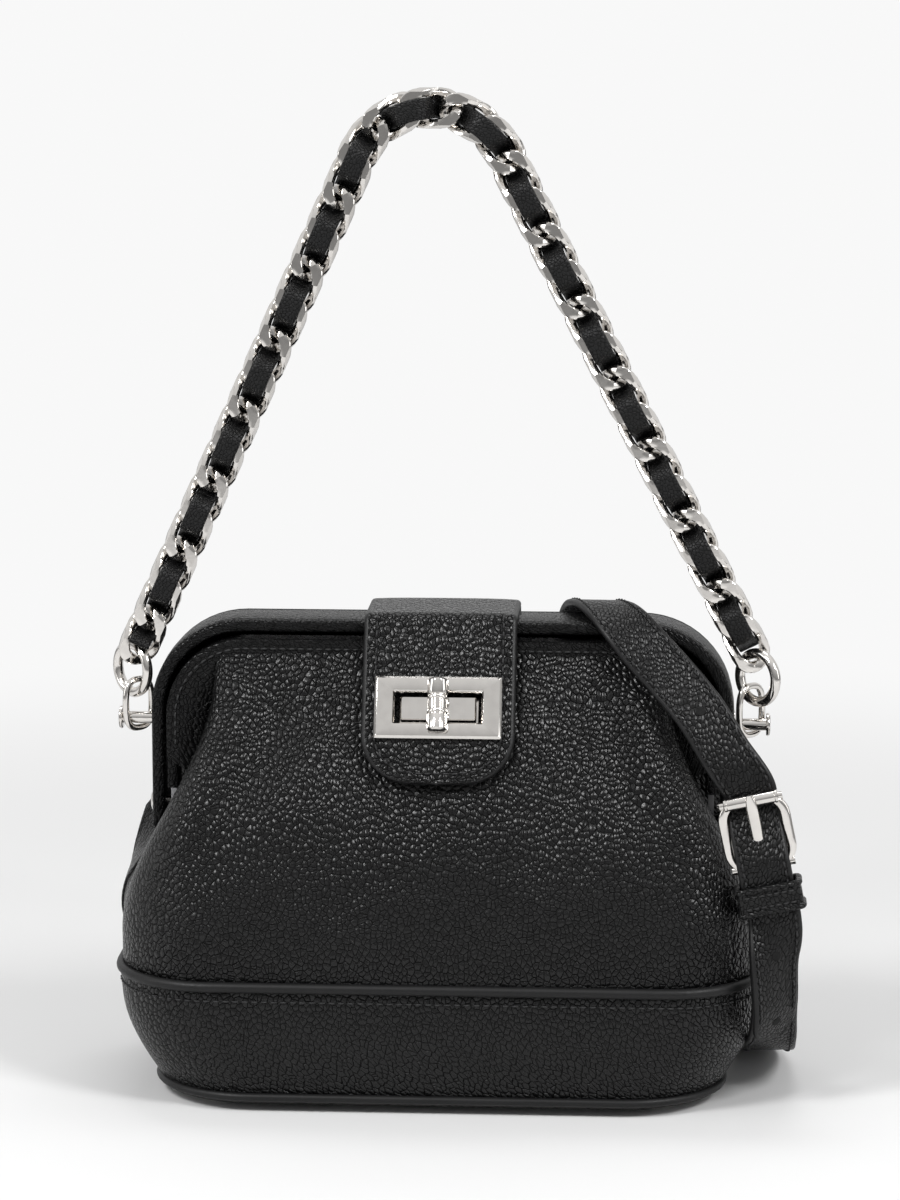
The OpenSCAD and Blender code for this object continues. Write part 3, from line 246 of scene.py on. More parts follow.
class Shape:
    """Vertices, faces and a grain map in millimetres, gathered into one object."""

    def __init__(self):
        self.verts, self.faces, self.uvs, self.slots = [], [], [], []
        self.count = 0
        # Points closer than this become one, in millimetres
        self.merge = 0.002

    def add(self, verts, faces, uvs=None, slot=0):
        verts = np.asarray(verts, float).reshape(-1, 3)
        self.verts.append(verts)
        for k, face in enumerate(faces):
            self.faces.append([i + self.count for i in face])
            self.uvs.extend(uvs[k] if uvs is not None else [(verts[i][0], verts[i][2]) for i in face])
            self.slots.append(slot[k] if isinstance(slot, (list, tuple)) else slot)
        self.count += len(verts)
        return self

    def grid(self, points, wrap_i=False, wrap_j=False, caps=False, slot=0, flip=False, column_slots=None):
        """A grid of points[i][j]. The grain map runs along the surface, in millimetres."""
        p = np.asarray(points, float)
        q = np.concatenate([p, p[:, :1]], 1) if wrap_j else p
        q = np.concatenate([q, q[:1]], 0) if wrap_i else q
        across = np.concatenate([np.zeros((len(q), 1)), np.cumsum(np.linalg.norm(np.diff(q, axis=1), axis=2), 1)], 1)
        across -= across[:, across.shape[1] // 2][:, None]
        step = np.linalg.norm(np.diff(q, axis=0), axis=2)
        along = np.concatenate([np.zeros((1, q.shape[1])), np.cumsum(step, 0)], 0)
        n, m = p.shape[:2]
        faces, uvs, slots = [], [], []
        for i in range(len(q) - 1):
            for j in range(q.shape[1] - 1):
                corners = [(i, j), (i, j + 1), (i + 1, j + 1), (i + 1, j)]
                if flip:
                    corners.reverse()
                faces.append([(a % n) * m + b % m for a, b in corners])
                uvs.append([(across[a, b], along[a, b]) for a, b in corners])
                slots.append(column_slots[j] if column_slots is not None else slot)
        if caps:
            for i, back in ((0, not flip), (n - 1, flip)):
                loop = list(range(m))
                if back:
                    loop.reverse()
                faces.append([i * m + j for j in loop])
                uvs.append([(p[i, j][0], p[i, j][2]) for j in loop])
                slots.append(column_slots[0] if column_slots is not None else slot)
        return self.add(p.reshape(-1, 3), faces, uvs, slots)

    def slab(self, surface, thick, out=None, wrap=False, rounds=2, edge_slot=0, flip=False):
        """A sheet between surface and thick behind it, with rounded edges. out gives the outer normals."""
        self.merge = 0.01
        p = np.asarray(surface, float)
        n = normals(p, wrap) * (-1 if flip else 1) if out is None else unit(out)
        mid = p - n * thick / 2
        half = np.full(p.shape[:2], thick / 2)
        for axis in ((0,) if wrap else (0, 1)):
            mid, n, half = (np.moveaxis(x, axis, 0) for x in (mid, n, half))
            first, last = unit(mid[0] - mid[1]), unit(mid[-1] - mid[-2])
            low, high = [], []
            for k in range(1, rounds + 1):
                a = math.pi / 2 * k / rounds
                s, c = math.sin(a), math.cos(a)
                low.insert(0, (mid[0] + first * s * half[0][:, None], n[0], half[0] * c))
                high.append((mid[-1] + last * s * half[-1][:, None], n[-1], half[-1] * c))
            mid = np.concatenate([V([x[0] for x in low]), mid, V([x[0] for x in high])])
            n = np.concatenate([V([x[1] for x in low]), n, V([x[1] for x in high])])
            half = np.concatenate([V([x[2] for x in low]), half, V([x[2] for x in high])])
            mid, n, half = (np.moveaxis(x, 0, axis) for x in (mid, n, half))
        front, back = mid + n * half[..., None], mid - n * half[..., None]
        rows, cols = half.shape
        before = len(self.slots)
        self.grid(front, wrap_j=wrap, flip=flip)
        self.grid(back, wrap_j=wrap, flip=not flip)
        m = cols if wrap else cols - 1
        for side in (0, 1):
            for i in range(rows - 1):
                for j in range(m):
                    border = i < rounds or i >= rows - 1 - rounds
                    border = border or (not wrap and (j < rounds or j >= cols - 1 - rounds))
                    if border:
                        self.slots[before + side * (rows - 1) * m + i * m + j] = edge_slot
        return self

    def sweep(self, centres, ups, profile, closed=False, column_slots=None):
        """profile [(across, up), ...] carried along centres, with ups as its upward direction."""
        c = np.asarray(centres, float)
        ahead = np.roll(c, -1, 0) - np.roll(c, 1, 0)
        if not closed:
            ahead[0], ahead[-1] = c[1] - c[0], c[-1] - c[-2]
        ahead = unit(ahead)
        up = np.asarray(ups, float)
        up = np.broadcast_to(up, c.shape) if up.ndim == 1 else up
        up = upright(up, ahead)
        side = np.cross(ahead, up)
        prof = np.asarray(profile, float)
        if prof.ndim == 2:
            prof = np.broadcast_to(prof, (len(c), *prof.shape))
        grid = c[:, None] + side[:, None] * prof[..., :1] + up[:, None] * prof[..., 1:]
        return self.grid(grid, wrap_i=closed, wrap_j=True, caps=not closed, column_slots=column_slots)

    def lathe(self, profile, centre, axis, steps=40, slot=0):
        """profile [(radius, height), ...] turned round axis."""
        axis = unit(axis)
        x = unit(np.cross(axis, [0.31, 0.2, 0.93]))
        y = np.cross(axis, x)
        ring = np.cos(turns(steps))[:, None] * x + np.sin(turns(steps))[:, None] * y
        grid = [V(centre) + max(r, 1e-4) * ring + h * axis for r, h in profile]
        return self.grid(grid, wrap_j=True, slot=slot, flip=True)

    def make(self, name, materials, body=None, replaces=(), sharp=None):
        """One object. body is what it rides on, replaces the CAD nodes it stands for."""
        materials = materials if isinstance(materials, tuple) else (materials,)
        me = bpy.data.meshes.new(name)
        me.from_pydata((np.concatenate(self.verts) * MM).tolist(), [], self.faces)
        layer = me.uv_layers.new(name="grain")
        layer.data.foreach_set("uv", np.asarray(self.uvs, np.float32).ravel())
        me.polygons.foreach_set("material_index", self.slots)
        for material in materials:
            me.materials.append(material)
        if self.merge:
            bm = bmesh.new()
            bm.from_mesh(me)
            bmesh.ops.remove_doubles(bm, verts=bm.verts, dist=self.merge * MM)
            bmesh.ops.dissolve_degenerate(bm, edges=bm.edges, dist=1e-7)
            bmesh.ops.recalc_face_normals(bm, faces=bm.faces)
            bm.to_mesh(me)
            bm.free()
        me.validate()
        obj = new_object(name, me)
        shade(obj, sharp)
        if body:
            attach(obj, body)
        if replaces:
            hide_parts(*([replaces] if isinstance(replaces, str) else replaces))
        return obj


def new_object(name, data):
    obj = bpy.data.objects.new(name, data)
    bpy.context.scene.collection.objects.link(obj)
    return obj


def normals(p, wrap=False):
    """Grid normals: across crossed with along."""
    along = np.gradient(p, axis=0)
    across = np.roll(p, -1, 1) - np.roll(p, 1, 1) if wrap else np.gradient(p, axis=1)
    return unit(np.cross(across, along))


def shade(obj, sharp):
    """Smooth shading, with edges sharper than this many degrees kept crisp."""
    me = obj.data
    me.polygons.foreach_set("use_smooth", [True] * len(me.polygons))
    if sharp:
        me.set_sharp_from_angle(angle=math.radians(sharp))


def cut_out(obj, cutter):
    """Removes the cutter's space from obj, and the cutter."""
    modifier = obj.modifiers.new("cut", "BOOLEAN")
    modifier.operation, modifier.solver, modifier.object = "DIFFERENCE", "EXACT", cutter
    done = bpy.data.meshes.new_from_object(obj.evaluated_get(bpy.context.evaluated_depsgraph_get()))
    obj.modifiers.clear()
    old, obj.data = obj.data, done
    bpy.data.meshes.remove(old)
    bpy.data.objects.remove(cutter)


def rounded_rectangle(w, h, r, steps=4):
    """Closed profile of a w by h rectangle with rounded corners."""
    points = []
    for k, (sx, sy) in enumerate(((1, 1), (-1, 1), (-1, -1), (1, -1))):
        for i in range(steps + 1):
            a = math.radians(90 * (k + i / steps))
            points.append((sx * (w / 2 - r) + r * math.cos(a), sy * (h / 2 - r) + r * math.sin(a)))
    return points


def mirrored(half, signs=(-1, 1)):
    """An outline and its mirror image after it, without a point in the middle twice."""
    back = [(x * signs[0], y * signs[1]) for x, y in half[::-1]]
    return half + back[int(back[0] == half[-1]):]


def circle(r, steps=12):
    return [(r * math.cos(2 * math.pi * k / steps), r * math.sin(2 * math.pi * k / steps)) for k in range(steps)]


def resample(points, pitch, extra=None):
    """Points at an even pitch along a line, with any values that go with them."""
    p = np.asarray(points, float)
    s = run_lengths(p)
    n = max(2, int(round(s[-1] / pitch)) + 1)
    t = np.linspace(0, s[-1], n)
    out = V([np.interp(t, s, p[:, k]) for k in range(3)]).T
    if extra is None:
        return out
    e = np.asarray(extra, float)
    return out, unit(V([np.interp(t, s, e[:, k]) for k in range(3)]).T)


def even_loop(points, pitch):
    """A closed line with its long sides divided, none of its own points lost."""
    dense = []
    for a, b in zip(V(points), np.roll(V(points), -1, 0)):
        m = max(1, int(np.linalg.norm(b - a) / pitch))
        dense.extend(a + (b - a) * q / m for q in range(m))
    return V(dense)


STITCH_R, STITCH_LIFT = 0.3, 0.1


def stitches(shape, line, ups, pitch=3.0, length=2.1):
    """A row of separate stitches, each dipping into the leather at both ends."""
    r, lift = STITCH_R, STITCH_LIFT
    p, n = resample(line, pitch / 2, ups)
    # At every other point, a dark cone in the second material is painted shade for the stitch hole
    for i in range(2, len(p) - 1, 2):
        ahead = unit(p[i + 1] - p[i - 1])
        across = np.cross(n[i], ahead)
        rim = [p[i] + n[i] * (lift - 0.02) + r * (1.5 * math.cos(t) * ahead + 1.25 * math.sin(t) * across)
               for t in turns(8)]
        shape.add(rim + [p[i] - n[i] * 0.2], [tuple(range(8))] + [((k + 1) % 8, k, 8) for k in range(8)], slot=1)
    for i in range(1, len(p) - 1, 2):
        ahead = unit(p[i + 1] - p[i - 1])
        ts = np.linspace(-0.5, 0.5, 5)
        centres = [p[i] + ahead * length * t + n[i] * (lift + r * (0.6 - 5.2 * t * t)) for t in ts]
        sizes = V([0.55, 0.95, 1.05, 0.95, 0.55]) * r
        profile = V([[(s * x, s * y) for x, y in circle(1.0, 6)] for s in sizes])
        shape.sweep(centres, n[i], profile)


def sew(name, body, *rows, **how):
    """Rows of stitches as one object. A row is a line and its upward direction, one or one at each point."""
    shape = Shape()
    for line, ups in rows:
        stitches(shape, line, np.broadcast_to(np.asarray(ups, float), (len(line), 3)), **how)
    return shape.make(name, (THREAD, HOLE_SHADE), body)


# ---------------------------------------------------------------- body

# The leather starts just above the waist piping
SKIN_LOW = 43.2
WAIST_HALF = 104.5


def level(z):
    """0 at the waist and 1 at the top of the skins."""
    return np.minimum(1.0, (np.asarray(z, float) - WAIST_Z) / (TOP_Z - WAIST_Z))


def front_y(z):
    return -(FRONT_TOP_Y - 1 + (WAIST_D / 2 - FRONT_TOP_Y + 1) * np.cos(math.pi / 2 * level(z)))


def rear_y(z):
    return REAR_TOP_Y + (WAIST_D / 2 - REAR_TOP_Y) * np.cos(math.pi / 2 * level(z))


def front_half(z):
    return WAIST_HALF - 30.5 * ease((level(z) - 0.1) / 0.77)


def rear_half(z):
    z = np.asarray(z, float)
    return WAIST_HALF + 2.2 * np.sin(math.pi * np.clip((z - 42) / 52, 0, 1)) - 24 * ease((level(z) - 0.17) / 0.83)


def arch(z, half, top, r, inset):
    """Half width of an arch of that outer half width, top and corner radius, inset all round."""
    z = np.asarray(z, float)
    r_in = r - inset
    up = np.clip(z - (top - r), 0, r_in)
    return half - r + np.sqrt(np.maximum(r_in ** 2 - up ** 2, 0))


def corner(z):
    return 5 + 27 * (1 - ease((np.asarray(z, float) - 44) / 78))


def puff(x, z):
    """Slow hollows and swells of the leather, in millimetres."""
    return (0.5 * np.sin(x / 17.0 + z / 23.0 + 0.6) + 0.35 * np.sin(x / 9.0 - z / 13.0 + 2.1)
            + 0.25 * np.sin(x / 31.0 + z / 8.5 + 4.0))


def skin_row(half, y, r, turn, sign, sag):
    """One level of a panel that turns round its side corners: [x, y] from the left end to the right end."""
    arc_n = 16
    flat = np.linspace(0, half - r, 26)
    pts = [(x, y - sign * sag * (x / half) ** 2) for x in flat]
    y_end = pts[-1][1]
    for k in range(1, arc_n + 1):
        a = turn * k / arc_n
        pts.append((half - r + r * math.sin(a), y_end - sign * r * (1 - math.cos(a))))
    pts = V(pts)
    left = pts[1:][::-1] * V([-1, 1])
    return np.concatenate([left, pts])


def front_skin_points():
    rows = []
    for z in np.concatenate([np.linspace(SKIN_LOW, 128, 44), np.linspace(130.5, 148.5, 12)]):
        hem = ease((z - 126) / 12)
        half = front_half(z)
        if z > 112:
            half = min(half, arch(z, *FRONT_ARCH, 1.6))
        y = min(front_y(z), -12.7)
        r = corner(z) * (1 - 0.35 * hem)
        turn = math.radians(90 + 52 * ease((z - 62) / 50) - 95 * hem)
        row = skin_row(half, y, r, turn, -1, 2.4 * (1 - 0.6 * hem))
        x = row[:, 0]
        near = np.exp(-((np.abs(x) - half + 9) / 8.0) ** 2)
        body = np.clip((half - np.abs(x)) / 12, 0, 1)
        fold = 1.6 * ease((z - 70) / 25) * (1 - ease((z - 128) / 10))
        calm = ease((z - 44) / 14) * (1 - ease((z - 120) / 16))
        row[:, 1] -= near * fold + calm * body * puff(x, z)
        dip = np.exp(-((np.abs(x) - half + 22) / 7.0) ** 2)
        row[:, 1] += dip * 1.1 * ease((z - 88) / 20) * (1 - ease((z - 132) / 8))
        rows.append([(px, py, z) for px, py in row])
    return V(rows)


def rear_skin_points():
    rows = []
    for z in np.linspace(SKIN_LOW, 150.5, 50):
        onto_rim = ease((z - 90) / 18)
        half = rear_half(z) * (1 - onto_rim) + arch(z, *REAR_ARCH, 3.9) * onto_rim
        row = skin_row(half, rear_y(z), max(6.0, 32 - 25 * level(z)), math.pi / 2, 1, 2.0)
        x = row[:, 0]
        calm = ease((z - 44) / 14) * (1 - ease((z - 128) / 16))
        row[:, 1] += calm * np.clip((half - np.abs(x)) / 12, 0, 1) * puff(x + 40, z + 9)
        rows.append([(px, py, z) for px, py in row])
    return V(rows)


front_points = front_skin_points()
rear_points = rear_skin_points()


def across_mouth(obj):
    """Bakes the object's placement into its mesh."""
    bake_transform(obj)
    return obj


front_skin = Shape().slab(front_points, 1.5).make(
    "front_leather", LEATHER, replaces=["front_panel_lower", "front_panel_upper"])
across_mouth(front_skin)
Shape().slab(rear_points, 1.5, flip=True).make("rear_leather", LEATHER, "bag", "rear_panel")


def row_at(points, z):
    """The row of a skin that lies nearest to a height."""
    return points[int(np.argmin(np.abs(points[:, 0, 2] - z)))]


def gusset_points(side, s_low, s_high, inset, n=16):
    """Side wall: from the front leather's edge in to the fold and out to the rear leather's edge."""
    rows = []
    for z in np.linspace(SKIN_LOW, 141.0, 40):
        start, end = row_at(front_points, z)[-1], row_at(rear_points, z)[-1]
        fold = 13.0 * ease((z - 56) / 46)
        out = 2.6 * math.sin(math.pi * min(1.0, max(0.0, (z - 42) / 48)))
        row = []
        for s in np.linspace(s_low, s_high, n):
            x = start[0] * (1 - s) + end[0] * s
            bend = math.sin(math.pi * min(1.0, max(0.0, s)))
            x += (out - fold) * bend ** 0.9 - inset
            row.append((side * x, start[1] + (end[1] - start[1]) * s, z))
        rows.append(row)
    return V(rows)


for side, word in ((-1, "left"), (1, "right")):
    made = Shape().slab(gusset_points(side, -0.03, 0.86, 0.9, 24), 1.2, flip=side < 0).make(
        word + "_gusset_front", LEATHER, replaces=word + "_gusset")
    across_mouth(made)
    Shape().slab(gusset_points(side, 0.47, 1.02, 0.0), 1.2, flip=side < 0).make(
        word + "_gusset_rear", LEATHER, "bag", word + "_gusset")


def oval(w, d, r):
    """Rounded rectangle seen from above, with points along its straight sides too."""
    steps, straight = 14, 10
    corners = rounded_rectangle(w, d, r, steps)
    pts = []
    for k in range(4):
        arc = corners[k * (steps + 1):(k + 1) * (steps + 1)]
        pts.extend(arc)
        last, following = V(arc[-1]), V(corners[(k + 1) % 4 * (steps + 1)])
        pts.extend(tuple(last + (following - last) * i / straight) for i in range(1, straight))
    return V(pts)


def ring_at(z, w, d, r):
    return V([(x, y, z) for x, y in oval(w, d, r)])


def band_ring(z, inset=0.0):
    part = (z - BASE_Z) / (WAIST_Z - BASE_Z)
    rise = math.sin(math.pi / 2 * part)
    swell = 1.2 * math.sin(math.pi * part)
    return ring_at(z, BASE_W + (WAIST_W + 5 - BASE_W) * rise + 2 * swell - 2 * inset,
                   BASE_D + (WAIST_D - BASE_D) * rise + 2 * swell - 2 * inset, 32 - inset)


band = V([band_ring(z) for z in np.linspace(6.2, 40.6, 14)])
Shape().slab(band, 1.5, wrap=True).make("base_band_leather", LEATHER, "bag", "base_band")


def bead(name, w, d, r, z, size, flange, replaces):
    shape = Shape()
    line = ring_at(z, w, d, r)
    shape.sweep(line, (0, 0, 1), circle(size, 14), closed=True)
    shape.sweep(line - unit(line * V([1, 1, 0])) * (size + 0.5), (0, 0, 1),
                rounded_rectangle(2.0, flange, 0.3, 2), closed=True)
    return shape.make(name, PIPING, "bag", replaces)


bead("waist_piping_cord", WAIST_W + 5.4, WAIST_D + 0.6, 32.3, WAIST_Z, 1.75, 1.6, "waist_piping")
bead("base_piping_cord", BASE_W + 1.2, BASE_D + 1.2, 32.5, BASE_Z + 0.2, 1.45, 1.6, "base_piping")

line = band_ring(37.4)
line = np.concatenate([line, line[:1]])
sew("waist_stitches", "bag", (line, unit(line * V([0.4, 1, 0]))), pitch=3.1)

floor_grid = V([ring_at(2.5, (BASE_W - 1) * k, (BASE_D - 1) * k, 31.5 * k) for k in (0.02, 0.5, 0.85, 1.0)])
Shape().slab(floor_grid, 2.0, wrap=True, flip=True, out=np.broadcast_to(V([0, 0, -1.0]), floor_grid.shape)).make(
    "bottom_leather", LEATHER, "bag", "base_panel")

feet = Shape()
for x in (-1, 1):
    for y in (-1, 1):
        feet.lathe([(0, 0), (2.6, 0.05), (3.8, 0.35), (4.45, 1.0), (4.5, 1.5), (4.3, 1.75), (4.45, 2.0), (4.45, 2.45),
                    (0, 2.45)], (x * BASE_W * 0.39, y * BASE_D * 0.34, 0), (0, 0, 1))
feet.make("metal_feet", NICKEL, "bag", "base_feet", sharp=40)


# Linings
tub = Shape()
rings = [ring_at(7.2, 180 * k, 88 * k, 29 * k) for k in (0.02, 0.6, 0.95)] + [band_ring(z, 2.2) for z in
                                                                             np.linspace(8.2, 43.5, 9)]
tub.slab(V(rings), 0.6, wrap=True)
tub.make("lining_tub", LINING, "bag", "bag_lining")


def inner_sheet(points, z_low, z_high, inset, outward):
    z = points[:, 0, 2]
    rows = points[(z >= z_low) & (z <= z_high)]
    n = normals(rows) * outward
    return (rows - n * inset)[:, 6:-6], n[:, 6:-6]


pts, n_out = inner_sheet(rear_points, 43, 140, 1.9, -1)
Shape().slab(pts, 0.6, out=n_out, flip=True).make("lining_rear", LINING, "bag", "rear_lining")
pts, n_out = inner_sheet(front_points, 43, 143.5, 1.9, 1)
across_mouth(Shape().slab(pts, 0.6, out=n_out).make(
    "lining_front", LINING, replaces="front_lining_upper"))


# ---------------------------------------------------------------- frames

def arch_line(half, top, r, low, inset):
    """Points round an upside-down U, with the outward direction at each."""
    rr, steps = r - inset, 14
    pts, outs = [], []
    for k in range(12):
        pts.append((-(half - inset), low + (top - r - low) * k / 12))
        outs.append((-1, 0))
    for side, a0 in ((-1, 180), (1, 90)):
        for i in range(steps + 1):
            a = math.radians(a0 - 90 * i / steps)
            pts.append((side * (half - r) + rr * math.cos(a), top - r + rr * math.sin(a)))
            outs.append((math.cos(a), math.sin(a)))
        if side < 0:
            for i in range(1, 20):
                pts.append((-(half - r) + 2 * (half - r) * i / 20, top - inset))
                outs.append((0, 1))
    for k in range(1, 13):
        pts.append((half - inset, top - r - (top - r - low) * k / 12))
        outs.append((1, 0))
    return V(pts), V(outs)


def arch_sweep(shape, half, top, r, low, profile, shear=0.0, end_r=0.0):
    """profile [(y, depth below the outer edge), ...] round the arch. The two feet are rounded off."""
    line, outs = arch_line(half, top, r, low, 0.0)
    prof = V(profile)
    rows = []
    for (x, z), (ox, oz) in zip(line, outs):
        d = prof[:, 1]
        rows.append(np.stack([x - ox * d, prof[:, 0], z - oz * d], 1))
    rows = V(rows)
    for k in (0, -1):
        mid = (prof[:, 0].min() + prof[:, 0].max()) / 2
        wide = (prof[:, 0].max() - prof[:, 0].min()) / 2
        rows[k, :, 2] += end_r * (1 - np.sqrt(np.maximum(0, 1 - ((prof[:, 0] - mid) / wide * 0.98) ** 2)))
        rows[k, :, 2] -= shear * prof[:, 1]
    return shape.grid(rows, wrap_j=True, caps=True, flip=True)


rim_profile = mirrored(
    [(-10.9, 3.4), (-11.15, 2.6), (-11.25, 1.4), (-11.1, 0.6), (-10.6, 0.12), (-10.0, 0.0), (-9.45, 0.2),
     (-9.2, 0.55), (-8.95, 0.3), (-8.2, 0.0), (-4, -0.2), (0, -0.28)]) + mirrored([(10.2, 4.0), (5, 4.05), (0, 4.05)])
rim = Shape()
arch_sweep(rim, *REAR_ARCH, 83, rim_profile, end_r=6.0)
rim.make("rear_rim_leather", RIM_LEATHER, "bag", "rear_frame_cover", sharp=50)

# The front frame's cover, and the wide turned-in band that runs round its corners and down its arms
hem_profile = [(-12.9, 0.6), (-12.75, 0.15), (-12.0, 0.0), (-5.0, 0.0), (-4.1, 0.3), (-3.9, 1.2), (-3.9, 3.4),
               (-4.6, 4.1), (-9.6, 4.2), (-10.2, 4.8), (-9.4, 9.0), (-8.6, 13.6), (-8.9, 14.6), (-9.8, 14.9),
               (-10.8, 14.4), (-11.6, 11.5), (-12.6, 8.0), (-13.1, 5.0), (-13.15, 2.2)]
hem = Shape()
arch_sweep(hem, *FRONT_ARCH, 109, hem_profile, shear=0.55)
hem.make("front_frame_leather", RIM_LEATHER, "front_frame", "front_frame_cover", sharp=50)


for side, word in ((-1, "left"), (1, "right")):
    arm = Shape().sweep([(side * 88.0, -8.1, z) for z in np.linspace(99, 112, 5)], (0, 1, 0),
                        rounded_rectangle(4.0, 8.2, 1.2, 3))
    arm.make("front_arm_leather_" + word, RIM_LEATHER, "front_frame", sharp=50)

line, outs = arch_line(*FRONT_ARCH, 113, 3.1)
on_skin = []
for x, z in line:
    near = row_at(front_points, z)
    y = float(np.interp(x, near[:, 0], near[:, 1])) if abs(x) < near[:, 0].max() - 1.0 else -13.1
    on_skin.append((x, min(y, -13.1), z))
sew("hem_stitches", "front_frame", (on_skin, [0.0, -1.0, 0.15]))

# Pivot rivets and side posts, turned
rivet, posts = Shape(), Shape()
for side in (-1, 1):
    rivet.lathe([(0, -5.0), (1.6, -5.0), (1.6, -0.1), (4.0, 0.0),
                 (4.0, 0.5), (3.7, 0.75), (3.7, 1.0), (3.2, 1.25), (2.4, 1.65), (1.2, 1.85), (0, 1.9)],
                (side * RIM_HALF, 0, PIVOT_Z), (side, 0, 0))
    posts.lathe([(2.0, -4.0), (2.0, -0.05), (4.6, 0.0), (4.6, 0.45), (4.2, 0.6), (2.3, 0.62), (2.0, 0.9), (2.0, 10.6),
                 (3.5, 10.7), (3.8, 11.0), (3.8, 11.4), (3.55, 11.6), (3.6, 11.75), (2.8, 12.05), (0, 12.1)],
                (side * RIM_HALF, 0, POST_Z), (side, 0, 0))
rivet.make("pivot_rivets", NICKEL, "bag", "hinge_rivets", sharp=35)
posts.make("chain_posts", NICKEL, "bag", "side_posts", sharp=35)


# ---------------------------------------------------------------- tab and lock

UP = V([0.0, math.sin(LEAN), math.cos(LEAN)])
OUT = V([0.0, -math.cos(LEAN), math.sin(LEAN)])


def slope(x, l, o):
    """Point x across, l up the tab's slope and o out from the panel."""
    return LOCK + V([x, 0, 0]) + UP * l + OUT * o


TAB_TOP = 158.2
SLOPE_TOP = (BODY_H - LOCK[2]) / math.cos(LEAN)
TAB_LOW = SLOPE_TOP - 55


def tab_line(off):
    """The tab's outer line in the middle, from its hinge over the rim and down to its end: points and normals."""
    top = TAB_TOP - (TAB_OFF - off)
    bend_l = (top - LOCK[2] - off * math.sin(LEAN)) / math.cos(LEAN)
    knee = slope(0, bend_l, off)
    r = 4.0 - (TAB_OFF - off)
    turn = math.pi / 2 - LEAN
    back = r * math.tan(turn / 2)
    pts = [(y, top) for y in np.linspace(15.6, knee[1] + back, 10)]
    centre = V([knee[1] + back, top - r])
    for k in range(1, 9):
        a = turn * k / 9
        pts.append((centre[0] - r * math.sin(a), centre[1] + r * math.cos(a)))
    start = knee - UP * back
    low = slope(0, TAB_LOW, off)
    length = np.linalg.norm((low - start)[1:])
    straight = length - TAB_END_R
    round_end = straight + TAB_END_R * np.sin(np.linspace(0, math.pi / 2, 12))[1:]
    steps = np.concatenate([np.linspace(0, straight, 22), round_end])
    for t in steps:
        q = start - UP * t
        pts.append((q[1], q[2]))
    pts = V(pts)
    d = np.gradient(pts, axis=0)
    n = unit(np.stack([d[:, 1], -d[:, 0]], 1))
    return pts, n


tab_pts, tab_n = tab_line(TAB_OFF)
tab_len = run_lengths(tab_pts)


def tab_half(i):
    d = tab_len[-1] - tab_len[i]
    r = TAB_END_R
    return TAB_W / 2 - r + (math.sqrt(max(0.0, r * r - (r - min(d, r)) ** 2)) if d < r else r)


grid, ups = [], []
for i in range(len(tab_pts)):
    w = tab_half(i)
    cols = w * np.sin(np.linspace(-math.pi / 2, math.pi / 2, 27))
    crown = 0.35 * (1 - (cols / max(w, 1e-6)) ** 4)
    grid.append([(x, tab_pts[i][0] + tab_n[i][0] * (c - 0.35), tab_pts[i][1] + tab_n[i][1] * (c - 0.35))
                 for x, c in zip(cols, crown)])
    ups.append([(0, tab_n[i][0], tab_n[i][1])] * len(cols))
tab = Shape().slab(V(grid), 2.7, out=V(ups), rounds=3, edge_slot=1, flip=True).make(
    "tab_leather", (LEATHER, EDGE), "tab", ["closing_tab", "tab_backing"])


def box_mesh(centre, axes, halves):
    shape = Shape()
    corners = [V(centre) + sum(s * h * V(a) for s, h, a in zip(signs, halves, axes))
               for signs in ((-1, -1, -1), (1, -1, -1), (1, 1, -1), (-1, 1, -1),
                             (-1, -1, 1), (1, -1, 1), (1, 1, 1), (-1, 1, 1))]
    shape.add(corners, [(0, 3, 2, 1), (4, 5, 6, 7), (0, 1, 5, 4), (1, 2, 6, 5), (2, 3, 7, 6), (3, 0, 4, 7)])
    return shape.make("cutter", HOLE_SHADE)


cut_out(tab, box_mesh(slope(0, 0, 4.0), ((1, 0, 0), UP, OUT), (14.4, 5.4, 6.0)))
shade(tab, 60)
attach(tab, "tab")

left, right, ups_left = [], [], []
for i in range(12, len(tab_pts)):
    d = tab_len[-1] - tab_len[i]
    if d < TAB_SEAM:
        continue
    r = TAB_END_R - TAB_SEAM
    w = TAB_W / 2 - TAB_SEAM
    if d < TAB_END_R:
        w = TAB_W / 2 - TAB_END_R + math.sqrt(max(0.0, r * r - (TAB_END_R - d) ** 2))
    q = tab_pts[i]
    left.append((-w, q[0], q[1]))
    right.append((w, q[0], q[1]))
    ups_left.append((0, tab_n[i][0], tab_n[i][1]))
end_q = tab_pts[-1] + (tab_pts[-2] - tab_pts[-1]) / np.linalg.norm(tab_pts[-2] - tab_pts[-1]) * TAB_SEAM
line = left + [(x, end_q[0], end_q[1]) for x in np.linspace(-6, 6, 7)] + right[::-1]
line_n = ups_left + [ups_left[-1]] * 7 + ups_left[::-1]
sew("tab_stitches", "tab", (V(line) + V(line_n) * 0.02, line_n), pitch=2.9)

root_rows = []
for z in np.linspace(132.3, 155.3, 16):
    root_rows.append([(x, rear_y(z) + 0.9 + 2.7 - 1.6 * ease((z - 146) / 9), z)
                      for x in np.linspace(-TAB_W / 2, TAB_W / 2, 21)])
Shape().slab(V(root_rows), 2.6, rounds=3, edge_slot=1).make("tab_root_leather", (LEATHER, EDGE), "bag", "tab_root")
pts = ([(-20.5, z) for z in np.linspace(153, 135.3, 12)] + [(x, 135.3) for x in np.linspace(-18, 18, 13)]
       + [(20.5, z) for z in np.linspace(135.3, 153, 12)])
line = V([(x, rear_y(z) + 3.62 - 1.6 * ease((z - 146) / 9), z) for x, z in pts])
sew("tab_root_stitches", "bag", (line, [0, 1.0, 0.4]), pitch=2.9)


def nested(loops, r, steps):
    """Rectangles (half width, half height, out) on the tab's slope, to be joined in that order."""
    return V([[slope(x, l, o) for x, l in rounded_rectangle(2 * w, 2 * h, min(r, h / 2), steps)] for w, h, o in loops])


